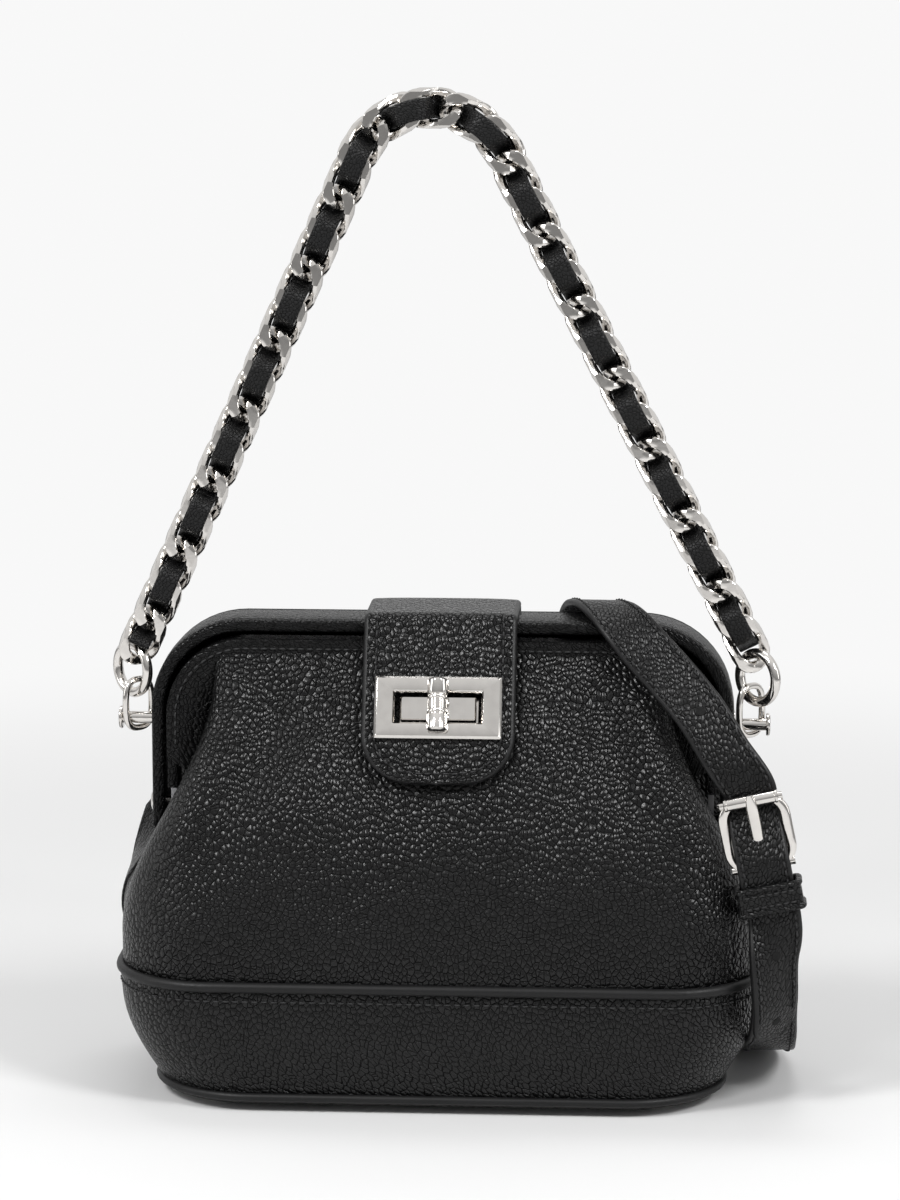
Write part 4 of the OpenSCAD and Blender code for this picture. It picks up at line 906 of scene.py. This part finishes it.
face = TAB_OFF
Shape().grid(nested(
    [(20.5, 10.25, face), (20.5, 10.25, face + 1.35), (20.35, 10.1, face + 1.55), (19.75, 9.5, face + 2.15),
     (19.55, 9.3, face + 2.2), (14.8, 5.8, face + 2.2), (14.6, 5.6, face + 2.15), (14.1, 5.1, face + 1.5),
     (14.0, 5.0, face + 1.3), (14.0, 5.0, face)], 0.5, 2), wrap_i=True, wrap_j=True).make(
    "lock_plate", NICKEL, "tab", "lock_front_plate", sharp=22)
Shape().grid(nested(
    [(12.75, 4.2, 0.3), (12.75, 4.2, 1.2), (12.2, 3.9, 1.3), (12.1, 3.85, 5.1), (11.8, 3.55, 5.4), (0.6, 0.3, 5.4)],
    0.6, 3), wrap_j=True, caps=True).make("lock_boss", NICKEL, "front_frame", "lock_base_plate", sharp=30)

# The bar stands off by the tab, its plate, a gap and its own radius
bar_o = TAB_OFF + 2.2 + 0.4 + 2.2
bar = Shape()
half_bar = [(0.0, 8.75), (2.3, 8.75), (2.75, 8.55), (3.3, 7.9), (3.3, 3.6), (3.15, 3.35), (2.9, 3.25), (2.9, 3.0),
            (3.15, 2.9), (3.35, 2.6), (3.35, 2.1), (3.15, 1.8), (2.95, 1.7), (2.95, 1.4), (3.1, 1.3), (3.1, 0.0)]
bar.lathe(mirrored(half_bar, (1, -1)), slope(0, 0, bar_o), UP, 36)
bar.lathe([(2.2, 5.3), (2.2, bar_o - 1.5)], slope(0, 0, 0), OUT, 28)
bar.lathe([(3.3, 5.45), (3.3, 5.9), (2.9, 6.3), (2.2, 6.35)], slope(0, 0, 0), OUT, 28)
bar.make("turning_bar", NICKEL, "turn_lock", "turn_knob", sharp=35)


# ---------------------------------------------------------------- chain

LINK_A, LINK_B, LINK_C, WIRE = 8.65, 5.4, 3.1, 3.7
CROWN_Z, CROWN_R, SHIFT = 320.0, 26.0, -4.0
RING_R, RING_D, RING_OUT, RING_Z = 8.0, 3.4, 3.0, 136.0
LOOP_R, LOOP_W, LOOP_H, POST_R = 1.1, 5.3, 8.1, 2
LOOP_X = 100.6
LEGS = 16
seat_step = LINK_A - WIRE / 2 - RING_D / 2 - 0.6
LEG_LEAN = math.radians(25.4)
start_x = LOOP_X - seat_step * math.sin(LEG_LEAN)
start_z = RING_Z + math.sqrt(RING_R ** 2 - RING_OUT ** 2) + seat_step * math.cos(LEG_LEAN)
reach_z = CROWN_Z - CROWN_R - start_z
reach = math.hypot(start_x, reach_z)
touch = math.acos(CROWN_R / reach) - math.atan2(reach_z, start_x)
arc_len = CROWN_R * (math.pi / 2 - touch)
PITCH = (arc_len + math.sqrt(reach ** 2 - CROWN_R ** 2)) / LEGS


def route(s):
    d = abs(s)
    if d < arc_len:
        x, z = CROWN_R * math.sin(d / CROWN_R), CROWN_Z - CROWN_R + CROWN_R * math.cos(d / CROWN_R)
    else:
        x = CROWN_R * math.cos(touch) + (d - arc_len) * math.sin(touch)
        z = CROWN_Z - CROWN_R + CROWN_R * math.sin(touch) - (d - arc_len) * math.cos(touch)
    return V([math.copysign(x, s) + SHIFT * (z - start_z) / (CROWN_Z - start_z), 0.0, z])


def link_s(i, side):
    return side * (LEGS + 1 - i) * PITCH


def link_frame(i, side):
    s = link_s(i, side)
    u = unit(route(s + PITCH / 2) - route(s - PITCH / 2))
    return route(s), u, V([-u[2], 0, u[0]])


# How square the wire's section is, and how far out its filed faces and sides lie, in wire radii
SQUARE, FACE_OUT, SIDE_OUT = 2.7, 0.42, 0.62


def add_link(shape, i, side):
    """A curb link: a twisted oval of thick wire, filed flat on its front, back and outer sides."""
    c, u, v = link_frame(i, side)
    w = V([0.0, 1.0, 0.0])
    r, steps, around = WIRE / 2, 44, 18
    grid = []
    for k in range(steps):
        t = 2 * math.pi * k / steps
        mid = V([LINK_A * math.cos(t), LINK_B * math.sin(t), LINK_C * math.sin(2 * t)])
        ahead = unit([-LINK_A * math.sin(t), LINK_B * math.cos(t), 2 * LINK_C * math.cos(2 * t)])
        out = unit([LINK_B * math.cos(t), LINK_A * math.sin(t), 0])
        a = unit(out - ahead * float(out @ ahead))
        b = np.cross(ahead, a)
        ring = []
        for q in range(around):
            p = 2 * math.pi * q / around
            ca, sa = math.cos(p), math.sin(p)
            section = (abs(ca) ** SQUARE + abs(sa) ** SQUARE) ** (-1 / SQUARE)
            point = mid + r * 1.02 * section * (ca * a + sa * b)
            flat = LINK_C + FACE_OUT * r
            point[2] = max(-flat, min(flat, point[2]))
            # The sides slant in towards the faces, from 1.2 mm off the middle
            edge = LINK_B + SIDE_OUT * r - 0.45 * max(0.0, abs(point[2]) - 1.2)
            point[1] = max(-edge, min(edge, point[1]))
            ring.append(c + u * point[0] + v * point[1] + w * point[2])
        grid.append(ring)
    shape.grid(V(grid), wrap_i=True, wrap_j=True)


ends = [0, 3, 6, 9, 12, 16]
for k in range(5):
    shape = Shape()
    for side in (-1, 1):
        for i in range(ends[k] + 1, ends[k + 1] + 1):
            add_link(shape, i, side)
    if k == 4:
        add_link(shape, 17, 1)
    shape.make("curb_links_%d" % (k + 1), NICKEL, "chain_%d" % (k + 1), "chain_links_%d" % (k + 1), sharp=24)


def weave(shape, i0, i1, side):
    """The strip from link i0 to link i1 of one leg, over and under in turn."""
    # How far it stands off the links' middle, and how sharply it crosses over
    out_y, steep = 5.0 * side, 2.3
    centres, ups = [], []
    start, stop = link_s(i0, side), link_s(i1, side)
    n = int(abs(i1 - i0) * 16)
    for k in range(n + 1):
        s = start + (stop - start) * k / n
        i = LEGS + 1 - abs(s) / PITCH
        if s * side < 0:
            i = 2 * (LEGS + 1) - i
        wave = math.sin(math.pi * i)
        y = out_y * math.tanh(steep * wave) / math.tanh(steep)
        centres.append(route(s) + V([0, y, 0]))
        ahead = route(s + 0.5) - route(s - 0.5)
        slope_y = out_y * steep * math.cos(math.pi * i) * math.pi / PITCH / math.cosh(steep * wave) ** 2
        direction = unit(unit(ahead) * (1 if stop > start else -1) + V([0, slope_y, 0]))
        sideways = unit(np.cross(ahead, [0, 1, 0])) * (1 if stop > start else -1)
        ups.append(np.cross(sideways, direction))
    centres, ups = V(centres), V(ups)
    prof = (mirrored([(-3.5, 0), (-3.3, 0.62), (-2.6, 0.85), (0, 0.95)])
            + mirrored([(3.3, -0.62), (2.6, -0.78), (0, -0.8)]))
    shape.sweep(centres, ups, prof)


def fold_z(i):
    return (route(link_s(i, 1))[2] + route(link_s(i + 1, 1))[2]) / 2 * MM


cuts = [0.78, 5, 8, 11, 17]
for k in range(4):
    shape = Shape()
    for side in (-1, 1):
        weave(shape, cuts[k], cuts[k + 1], side)
    names = ["chain_strip_%d" % (k + 1)] + (["chain_strip_5"] if k == 3 else [])
    obj = shape.make("woven_strip_%d" % (k + 1), DARK_LEATHER, replaces=names)
    z = fold_z(ends[k + 1])
    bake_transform(obj)


def power(x, e):
    """x to the power e, with its sign kept."""
    return math.copysign(abs(x) ** e, x)


TURN = math.radians(-45)
ring_dir = V([math.cos(TURN), math.sin(TURN), 0])
rings, loops = Shape(), Shape()
for side in (-1, 1):
    c = V([side * (LOOP_X + RING_OUT * math.cos(TURN)), side * RING_OUT * math.sin(TURN), RING_Z])
    centres = [c + RING_R * (math.cos(t) * ring_dir + math.sin(t) * V([0, 0, 1])) for t in turns(72)]
    rings.sweep(centres, [cc - c for cc in centres], circle(RING_D / 2, 18), closed=True)
    across = V([math.cos(TURN + math.pi / 2), math.sin(TURN + math.pi / 2), 0])
    c = V([side * LOOP_X, 0, POST_Z - POST_R - LOOP_R - 0.3 + LOOP_H])
    even = resample([c + LOOP_W * power(math.cos(t), 0.7) * across + V([0, 0, LOOP_H * power(math.sin(t), 0.7)])
                     for t in np.linspace(0, 2 * math.pi, 240)], 0.9)[:-1]
    loops.sweep(even, ring_dir, circle(LOOP_R, 14), closed=True)
rings.make("chain_rings", NICKEL, "rings", "round_rings")
loops.make("wire_loops", NICKEL, "loops", "side_loops")


# ---------------------------------------------------------------- shoulder strap

STRAP_W, STRAP_T = 17.0, 2.4
ring_tilt = math.radians(17)
SR_X, SR_Z = 78.0, 96.0
SR_Y = rear_y(SR_Z) + 4
SR_H = 9
LOW_Z, LOW_Y = SR_Z - SR_H * math.cos(ring_tilt), SR_Y + SR_H * math.sin(ring_tilt)
BX, BY, BZ, BT = 102.6, -36.2, 92.0, math.radians(12)


def at_buckle(x, y, z):
    return V([BX - x * math.cos(BT) - z * math.sin(BT), BY - y, BZ - x * math.sin(BT) + z * math.cos(BT)])


def buckle_row(y, z, n):
    return [*at_buckle(0, y, z), *n]


LONG_ROUTE = [
    [-SR_X, LOW_Y, LOW_Z - 1, 0, 1, 0.2], [-SR_X, LOW_Y + 4, LOW_Z - 12, 0, 1, 0.2],
    [-77, 52.5, 58, 0, 1, 0.1], [-74, 58, 34, 0, 1, 0.1], [-70, 64, 14, -0.1, 0.8, 0.5],
    [-66, 78, 5, -0.4, 0.2, 0.9], [-62, 96, 8, -0.9, 0.1, 0.4], [-52, 116, 10, -0.8, 0.6, 0],
    [-26, 128, 10, 0, 1, 0], [2, 118, 10, 0.8, 0.6, 0], [14, 98, 8, 0.9, -0.1, 0.4],
    [20, 80, 5, 0.4, 0.2, 0.9], [23, 65, 14, 0.1, 0.8, 0.5], [26, 59, 36, 0, 1, 0.1],
    [31, 56, 62, 0, 1, 0.1], [35, 50, 88, 0, 0.97, 0.2], [39, 41, 114, 0, 0.95, 0.3],
    [43, 30, 137, 0, 0.9, 0.4], [46, 20, 153, 0, 0.7, 0.7], [50, 7, 158.4, 0, 0.25, 0.97],
    [54.5, -5, 158.6, 0, -0.25, 0.97], [60, -13.5, 154.8, 0, -0.65, 0.75],
    [66, -18, 148.5, 0.05, -0.85, 0.5], [74.5, -22, 140, 0.1, -0.9, 0.4],
    [84, -27.5, 129.5, 0.2, -0.9, 0.3], [92.5, -31.5, 116.5, 0.25, -0.93, 0.2]]
TAIL_ROUTE = [[108.5, -41.4, 50, 0.5, -0.86, 0], [109, -39.2, 36, 0.6, -0.8, -0.12],
              [108.5, -32, 24, 0.6, -0.65, -0.45]]
UNDER_ROUTE = [
    [108.5, -37.8, 50, 0.4, -0.9, 0], [109, -35.4, 37, 0.5, -0.85, -0.15], [108.5, -28.5, 26, 0.4, -0.7, -0.6],
    [108, -15, 17, 0, -0.5, -0.87], [108, 4, 10, 0, -0.2, -1], [106, 26, 4.5, 0, -0.1, -1],
    [99, 48, 3, 0, 0.1, -1], [89, 64, 12, 0, 0.8, -0.6], [82, 61.5, 36, 0, 1, 0], [79, 53, 60, 0, 1, 0.1],
    [SR_X, LOW_Y + 4, LOW_Z - 12, 0, 1, 0.2], [SR_X, LOW_Y, LOW_Z - 1, 0, 1, 0.2]]
# The straps' ends follow the rear rings: each bend's direction is slanted so that only that end is reached
STRAP_HOLES = [(108.5, -41.4, 53), (109, -36, 30), (84, -27.5, 130)]
ROLLER_Z, FIXED_Z = 12.5 - 1.3 - 0.4, -12.5 + 1.3 + 0.4
# The strap runs behind the roller and then over the fixed bar
BEHIND = 2.2 + STRAP_T / 2 + 0.3
OVER = 1.3 + 0.05 + 1.3 + 0.3 + STRAP_T / 2
KEEP_Z, KEEP_H = -20.5, 9.0
BUCKLE_ROWS = [buckle_row(-BEHIND, ROLLER_Z + 4, (0, -1, 0)), buckle_row(-BEHIND, ROLLER_Z - 1, (0, -1, 0)),
               buckle_row(0.4, 0.5, (0, -1, 0.3)), buckle_row(OVER, FIXED_Z + 2, (0, -1, 0)),
               buckle_row(OVER, KEEP_Z + KEEP_H / 2, (0, -1, 0)), buckle_row(OVER, KEEP_Z - KEEP_H, (0, -1, 0))]
UNDER_ROWS = [buckle_row(-1.3, FIXED_Z - 1, (0, -1, 0)), buckle_row(0.3, KEEP_Z + KEEP_H / 2, (0, -1, 0)),
              buckle_row(0.3, KEEP_Z - KEEP_H, (0, -1, 0))]


def smooth_rows(rows):
    """A smooth line through rows of any number of values."""
    rows, out, n = V(rows), [], 8
    last = len(rows) - 1
    for i in range(last):
        p0, p1, p2, p3 = rows[max(0, i - 1)], rows[i], rows[i + 1], rows[min(last, i + 2)]
        for k in range(n):
            t = k / n
            out.append(0.5 * (2 * p1 + (p2 - p0) * t + (2 * p0 - 5 * p1 + 4 * p2 - p3) * t * t
                              + (3 * p1 - p0 - 3 * p2 + p3) * t ** 3))
    return V(out + [rows[-1]])


def strap_profile():
    """Across and up, from the left edge over the top: edge, slightly crowned top, edge, flat back."""
    w, h = STRAP_W, STRAP_T / 2
    top = mirrored([(-w / 2 + 1.0, h), (-w / 2 + 2.4, h - 0.12), (-w / 4, h), (0, h + 0.05)])
    right = [(w / 2 - 0.35, h - 0.25), (w / 2, h - 0.8), (w / 2, -h + 0.8), (w / 2 - 0.35, -h + 0.25)]
    under = mirrored([(w / 2 - 1.0, -h), (0, -h)])
    left = [(-x, z) for x, z in right[::-1]]
    points = top + right + under + left
    slots = [0] * 6 + [1] * 5 + [0] * 2 + [1] * 5
    return points, slots


def strap(rows, taper=0.0):
    rows = smooth_rows(rows)
    centres, face_dir = rows[:, :3], rows[:, 3:]
    prof, slots = strap_profile()
    profs = np.repeat(V(prof)[None], len(centres), 0)
    if taper:
        s = run_lengths(centres)
        left = np.clip((s[-1] - s) / taper, 0, 1)
        profs[:, :, 0] *= (0.25 + 0.75 * np.sqrt(1 - (1 - left) ** 2))[:, None]
    shape = Shape()
    shape.sweep(centres, face_dir, profs, column_slots=slots)
    ahead = unit(np.gradient(centres, axis=0))
    up = upright(face_dir, ahead)
    return shape, centres, up, np.cross(ahead, up)


def fold_round(shape, x, y, z, r0, r1, w, axis=(1, 0, 0)):
    """A strap end folded round a bar."""
    shape.lathe([(r0, -w / 2), (r1 - 0.3, -w / 2), (r1, -w / 2 + 0.4), (r1 + 0.05, 0), (r1, w / 2 - 0.4),
                 (r1 - 0.3, w / 2), (r0, w / 2), (r0, -w / 2)], (x, y, z), axis, 28)


def edge_stitches(shape, centres, up, side, first, last):
    for s in (-1, 1):
        line = centres + side * s * (STRAP_W / 2 - 1.9) + up * (STRAP_T / 2 - 0.06)
        stitches(shape, line[first:last], up[first:last], pitch=2.9)


def declared(centres, exit_point):
    length = float(np.sum(np.linalg.norm(np.diff(centres, axis=0), axis=1))) * MM
    tuple(V(exit_point) * MM)
    return length


shape, long_c, long_up, long_side = strap(LONG_ROUTE + BUCKLE_ROWS + TAIL_ROUTE, taper=9.0)
fold_round(shape, -SR_X, LOW_Y, LOW_Z, 1.25, 2.55, STRAP_W)
long_strap = shape.make("strap_long_leather", (STRAP_LEATHER, EDGE), None, "long_strap", sharp=60)
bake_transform(long_strap)
row = Shape()
edge_stitches(row, long_c, long_up, long_side, 3, -6)
# Punched holes for the pin, as dark discs of painted shade: two on the tail below the keeper, one above the buckle
for x, y, z in STRAP_HOLES:
    i = int(np.argmin(np.linalg.norm(long_c - V([x, y, z]), axis=1)))
    row.lathe([(0, -0.1), (1.55, -0.1), (1.55, 0.06), (1.3, 0.1), (0, 0.1)],
              long_c[i] + long_up[i] * (STRAP_T / 2 + 0.05), long_up[i], 20, 1)
long_stitches = row.make("strap_long_stitches", (THREAD, HOLE_SHADE))
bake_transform(long_stitches)

shape, under_c, under_up, under_side = strap(UNDER_ROWS + UNDER_ROUTE)
fold_round(shape, SR_X, LOW_Y, LOW_Z, 1.25, 2.55, STRAP_W)
half_fold = STRAP_W / 2
for s in (-1, 1):
    mid = at_buckle(s * (half_fold + 1.6) / 2, 0, FIXED_Z)
    fold_round(shape, *mid, 1.35, 2.65, half_fold - 1.6, axis=(math.cos(BT), 0, math.sin(BT)))
under_strap = shape.make("strap_buckle_leather", (STRAP_LEATHER, EDGE), None, "buckle_strap", sharp=60)
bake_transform(under_strap)
row = Shape()
edge_stitches(row, under_c, under_up, under_side, 3, -3)
under_stitches = row.make("strap_buckle_stitches", (THREAD, HOLE_SHADE))
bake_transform(under_stitches)

# Keeper: a band round both straps, with two rows of stitches
keeper = Shape()
front_k, back_k = OVER + STRAP_T / 2 + 0.3 + 1.6, STRAP_T / 2 - 0.3 + 0.3 + 1.6
ring = rounded_rectangle(STRAP_W + 2 * 1.9, front_k + back_k, 1.6, 4)
dense = even_loop([(x, y + (front_k - back_k) / 2) for x, y in ring], 1.6)
d2 = np.roll(dense, -1, 0) - np.roll(dense, 1, 0)
n2 = unit(np.stack([d2[:, 1], -d2[:, 0]], 1))
rows = []
for dz, dn in mirrored([(-4.8, -0.8), (-4.7, 0.1), (-4.3, 0.6), (-3.8, 0.75), (-3.3, 0.55), (-2.9, 0.1), (-2.5, 0.0),
                        (0, 0.1)]) + [(4.3, -1.5), (-4.3, -1.5)]:
    rows.append([at_buckle(x + nx * dn, y + ny * dn, KEEP_Z + dz) for (x, y), (nx, ny) in zip(dense, n2)])
keeper.grid(V(rows), wrap_i=True, wrap_j=True)
keeper_obj = keeper.make("strap_keeper_leather", STRAP_LEATHER, "bag", "strap_keeper", sharp=60)
rows = [([at_buckle(x, front_k - 0.02, KEEP_Z + dz) for x in np.linspace(-8.4, 8.4, 15)], [0, -1.0, 0])
        for dz in (-1.9, 1.9)]
keeper_stitches = sew("keeper_stitches", "bag", *rows, pitch=2.4, length=1.8)

# Buckle: a rounded frame swept with a flattened section, its fixed bar, the roller on its bar, and the prong
BW, BH, BRIM = 24.0, 25.0, 2.8
dense = even_loop(rounded_rectangle(BW - BRIM - 1.1, BH - BRIM + 0.2, 6.2, 8), 1.5)
buckle = Shape()
centres = V([at_buckle(x, 0, z) for x, z in dense])
thick = [(1.62 if abs(z) < 7 else 1.62 - 0.2 * min(1, (abs(z) - 7) / 4)) for x, z in dense]
profs = V([[(t * power(math.cos(a), 0.8), 1.25 * power(math.sin(a), 0.8))
            for a in turns(16)] for t in thick])
buckle.sweep(centres, (0, -1, 0), profs, closed=True)
bar_axis = V([math.cos(BT), 0, math.sin(BT)])
for z in (ROLLER_Z, FIXED_Z):
    buckle.lathe([(0, -10.2), (1.28, -10.2), (1.28, 10.2), (0, 10.2)], at_buckle(0, 0, z), bar_axis, 20)
buckle_obj = buckle.make("buckle_ring", NICKEL, "bag", "buckle_frame", sharp=40)
roller_half = [(1.4, -8.9), (1.9, -8.9), (2.2, -8.6), (2.2, -7.9), (2.05, -7.7)]
roller = Shape().lathe(mirrored(roller_half, (1, -1)) + roller_half[:1], at_buckle(0, 0, ROLLER_Z), bar_axis, 28)
roller_obj = roller.make("buckle_roller_tube", NICKEL, "roller", "buckle_roller", sharp=35)
prong = Shape()
tip_y = 2.2 + 1.2 + 0.3
p0, p1 = V([0, 0, FIXED_Z]), V([0, tip_y, ROLLER_Z])
prong_pts, prong_r = [], []
for t in np.linspace(0.08, 1.13, 16):
    q = p0 + (p1 - p0) * t
    q[1] += 0.25 * math.sin(math.pi * min(1, t))
    prong_pts.append(at_buckle(*q))
    prong_r.append(1.2 * (1.0 if t < 0.9 else 1 - 0.45 * ((t - 0.9) / 0.23) ** 2))
profs = V([[(1.55 * x, 0.9 * y) for x, y in circle(r, 16)] for r in prong_r])
prong.sweep(prong_pts, (0, -1, 0), profs)
prong.lathe([(1.35, -1.2), (2.3, -1.2), (2.55, -0.9), (2.55, 0.9), (2.3, 1.2), (1.35, 1.2), (1.35, -1.2)],
            at_buckle(0, 0, FIXED_Z), bar_axis, 24)
prong_obj = prong.make("buckle_pin", NICKEL, "prong", "buckle_prong", sharp=40)

# Strap rings at the back, with their tabs
wire = Shape()
for side in (-1, 1):
    half_w = (STRAP_W + 2.4 + 0.6) / 2
    pts = []
    for x, z in rounded_rectangle(2 * half_w, 9.0, 1.0, 4):
        z -= 4.5
        pts.append((side * SR_X + x, SR_Y - z * math.sin(ring_tilt), SR_Z + z * math.cos(ring_tilt)))
    wire.sweep(even_loop(pts, 1.5), (0, 1, 0.3), circle(1.2, 14), closed=True)
wire.make("strap_end_rings", NICKEL, "strap_ring_pair", "strap_rings")
tabs, rows = Shape(), []
for side in (-1, 1):
    grid = [[(side * SR_X + x, rear_y(z) + 0.3 + 1.7, z) for x in np.linspace(-8, 8, 9)]
            for z in np.linspace(SR_Z + 1.5, SR_Z + 14, 9)]
    tabs.slab(V(grid), 1.5, rounds=2, edge_slot=1)
    fold_round(tabs, side * SR_X, SR_Y, SR_Z, 1.25, 2.85, 16)
    line = ([(-6.2, z) for z in np.linspace(SR_Z + 3, SR_Z + 12, 5)] + [(x, SR_Z + 12.2) for x in np.linspace(-5, 5, 6)]
            + [(6.2, z) for z in np.linspace(SR_Z + 12, SR_Z + 3, 5)])
    line = V([(side * SR_X + x, rear_y(z) + 2.02, z) for x, z in line])
    rows.append((line, [0, 1.0, 0.35]))
tabs.make("ring_tab_leather", (STRAP_LEATHER, EDGE), "bag", "strap_ring_tabs")
sew("ring_tab_stitches", "bag", *rows, pitch=2.6)

long_m = declared(long_c, long_c[0])
under_m = declared(under_c[::-1], under_c[-1])

# Carried-over CAD nodes
for name, material in (("base_board", BOARD), ("rear_frame_bar", STEEL), ("front_frame_bar", STEEL),
                       ("lock_back_washer", STEEL), ("lock_clamp_plate", NICKEL)):
    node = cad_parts[name]
    node.data.materials.clear()
    node.data.materials.append(material)


# ---------------------------------------------------------------- stage, light and camera

def floor_disc():
    rings = [[(r * math.cos(t), r * math.sin(t), 0) for t in turns(64)]
             for r in (1, 200, 400, 800, 1600, 4000, 12000, 40000)]
    return Shape().grid(V(rings), wrap_j=True, flip=True)


def white_floor():
    n = new_material("white_floor")
    away = n.add("ShaderNodeVectorMath", {0: n.add("ShaderNodeTexCoord").outputs["Object"]}, operation="LENGTH")
    far = n.math("MULTIPLY", n.spread(away.outputs["Value"], 0.22, 0.75),
                 n.add("ShaderNodeLightPath").outputs["Is Camera Ray"])
    white = n.add("ShaderNodeEmission", {"Color": (0.94, 0.94, 0.94, 1), "Strength": 1.0})
    mixed = n.add("ShaderNodeMixShader", {0: far, 1: n.shader.outputs[0], 2: white.outputs[0]})
    n.put(n.tree.nodes["Material Output"].inputs["Surface"], mixed.outputs[0])
    n.surface(Base_Color=(0.79, 0.79, 0.79, 1), Roughness=0.75, Specular_IOR_Level=0.15)
    return n.owner


disc = floor_disc()
disc.merge = 0
floor = disc.make("studio_floor", white_floor())

world = bpy.data.worlds.new("studio")
bpy.context.scene.world = world
w = Nodes(world, "Background")
path = w.add("ShaderNodeLightPath")
# Seen in the metal: a bright ceiling, dimmer walls, and a bright wall behind the bag
w.surface(Color=(1, 1, 1, 1), Strength=0.32)
gradient = w.add("ShaderNodeSeparateXYZ", {0: w.add("ShaderNodeTexCoord").outputs["Generated"]})
ramp = w.add("ShaderNodeValToRGB", {"Fac": gradient.outputs["Z"]})
for element, (place, tone) in zip([*ramp.color_ramp.elements, ramp.color_ramp.elements.new(0.5)],
                                  ((0.05, 0.3), (0.3, 0.12), (0.75, 0.8))):
    element.position, element.color = place, (tone, tone, tone, 1)
behind = w.spread(gradient.outputs["Y"], 0.0, 0.6, 0.0, 0.85)
shiny = w.add("ShaderNodeBackground", {"Color": w.math("MAXIMUM", ramp.outputs["Color"], behind), "Strength": 1.0})
seen = w.add("ShaderNodeBackground", {"Color": (0.94, 0.94, 0.94, 1), "Strength": 1.0})
light = w.shader.outputs[0]
for ray, source in (("Is Glossy Ray", shiny), ("Is Camera Ray", seen)):
    light = w.add("ShaderNodeMixShader", {0: path.outputs[ray], 1: light, 2: source.outputs[0]}).outputs[0]
w.put(w.tree.nodes["World Output"].inputs["Surface"], light)


def lamp(name, place, aim, size, watts):
    data = bpy.data.lights.new(name, "AREA")
    data.shape, data.size, data.size_y, data.energy = "RECTANGLE", *size, watts
    obj = new_object(name, data)
    obj.location = place
    obj.rotation_euler = (Vector(aim) - Vector(place)).to_track_quat("-Z", "Y").to_euler()


lamp("key_left", (-0.62, -0.7, 1.0), (0, 0, 0.1), (0.3, 0.36), 9.0)
lamp("key_right", (0.75, -0.6, 0.95), (0, 0, 0.1), (0.3, 0.36), 8.0)
lamp("top_back", (0.0, 0.35, 1.2), (0, 0, 0.14), (0.7, 0.25), 3.5)
lamp("panel_left", (-1.1, -0.3, 0.45), (0, 0, 0.15), (0.35, 0.7), 2.0)
lamp("panel_right", (1.1, -0.3, 0.45), (0, 0, 0.15), (0.35, 0.7), 1.6)

camera = bpy.data.cameras.new("photo_camera")
camera.sensor_fit, camera.sensor_height, camera.lens = "VERTICAL", 36.0, 119.39
camera.clip_start, camera.clip_end = 0.05, 60
holder = new_object("photo_camera", camera)
azimuth, elevation, distance = math.radians(3.38), math.radians(10.0), 1.3
# Fitted to the photo: the angle, the lens and the point looked at
target = Vector((0.00218, 0, 0.16027))
back = Vector((math.sin(azimuth) * math.cos(elevation), -math.cos(azimuth) * math.cos(elevation),
               math.sin(elevation)))
holder.location = target + back * distance
holder.rotation_euler = (-back).to_track_quat("-Z", "Y").to_euler()
bpy.context.scene.camera = holder
bpy.context.scene.view_settings.view_transform = "Standard"
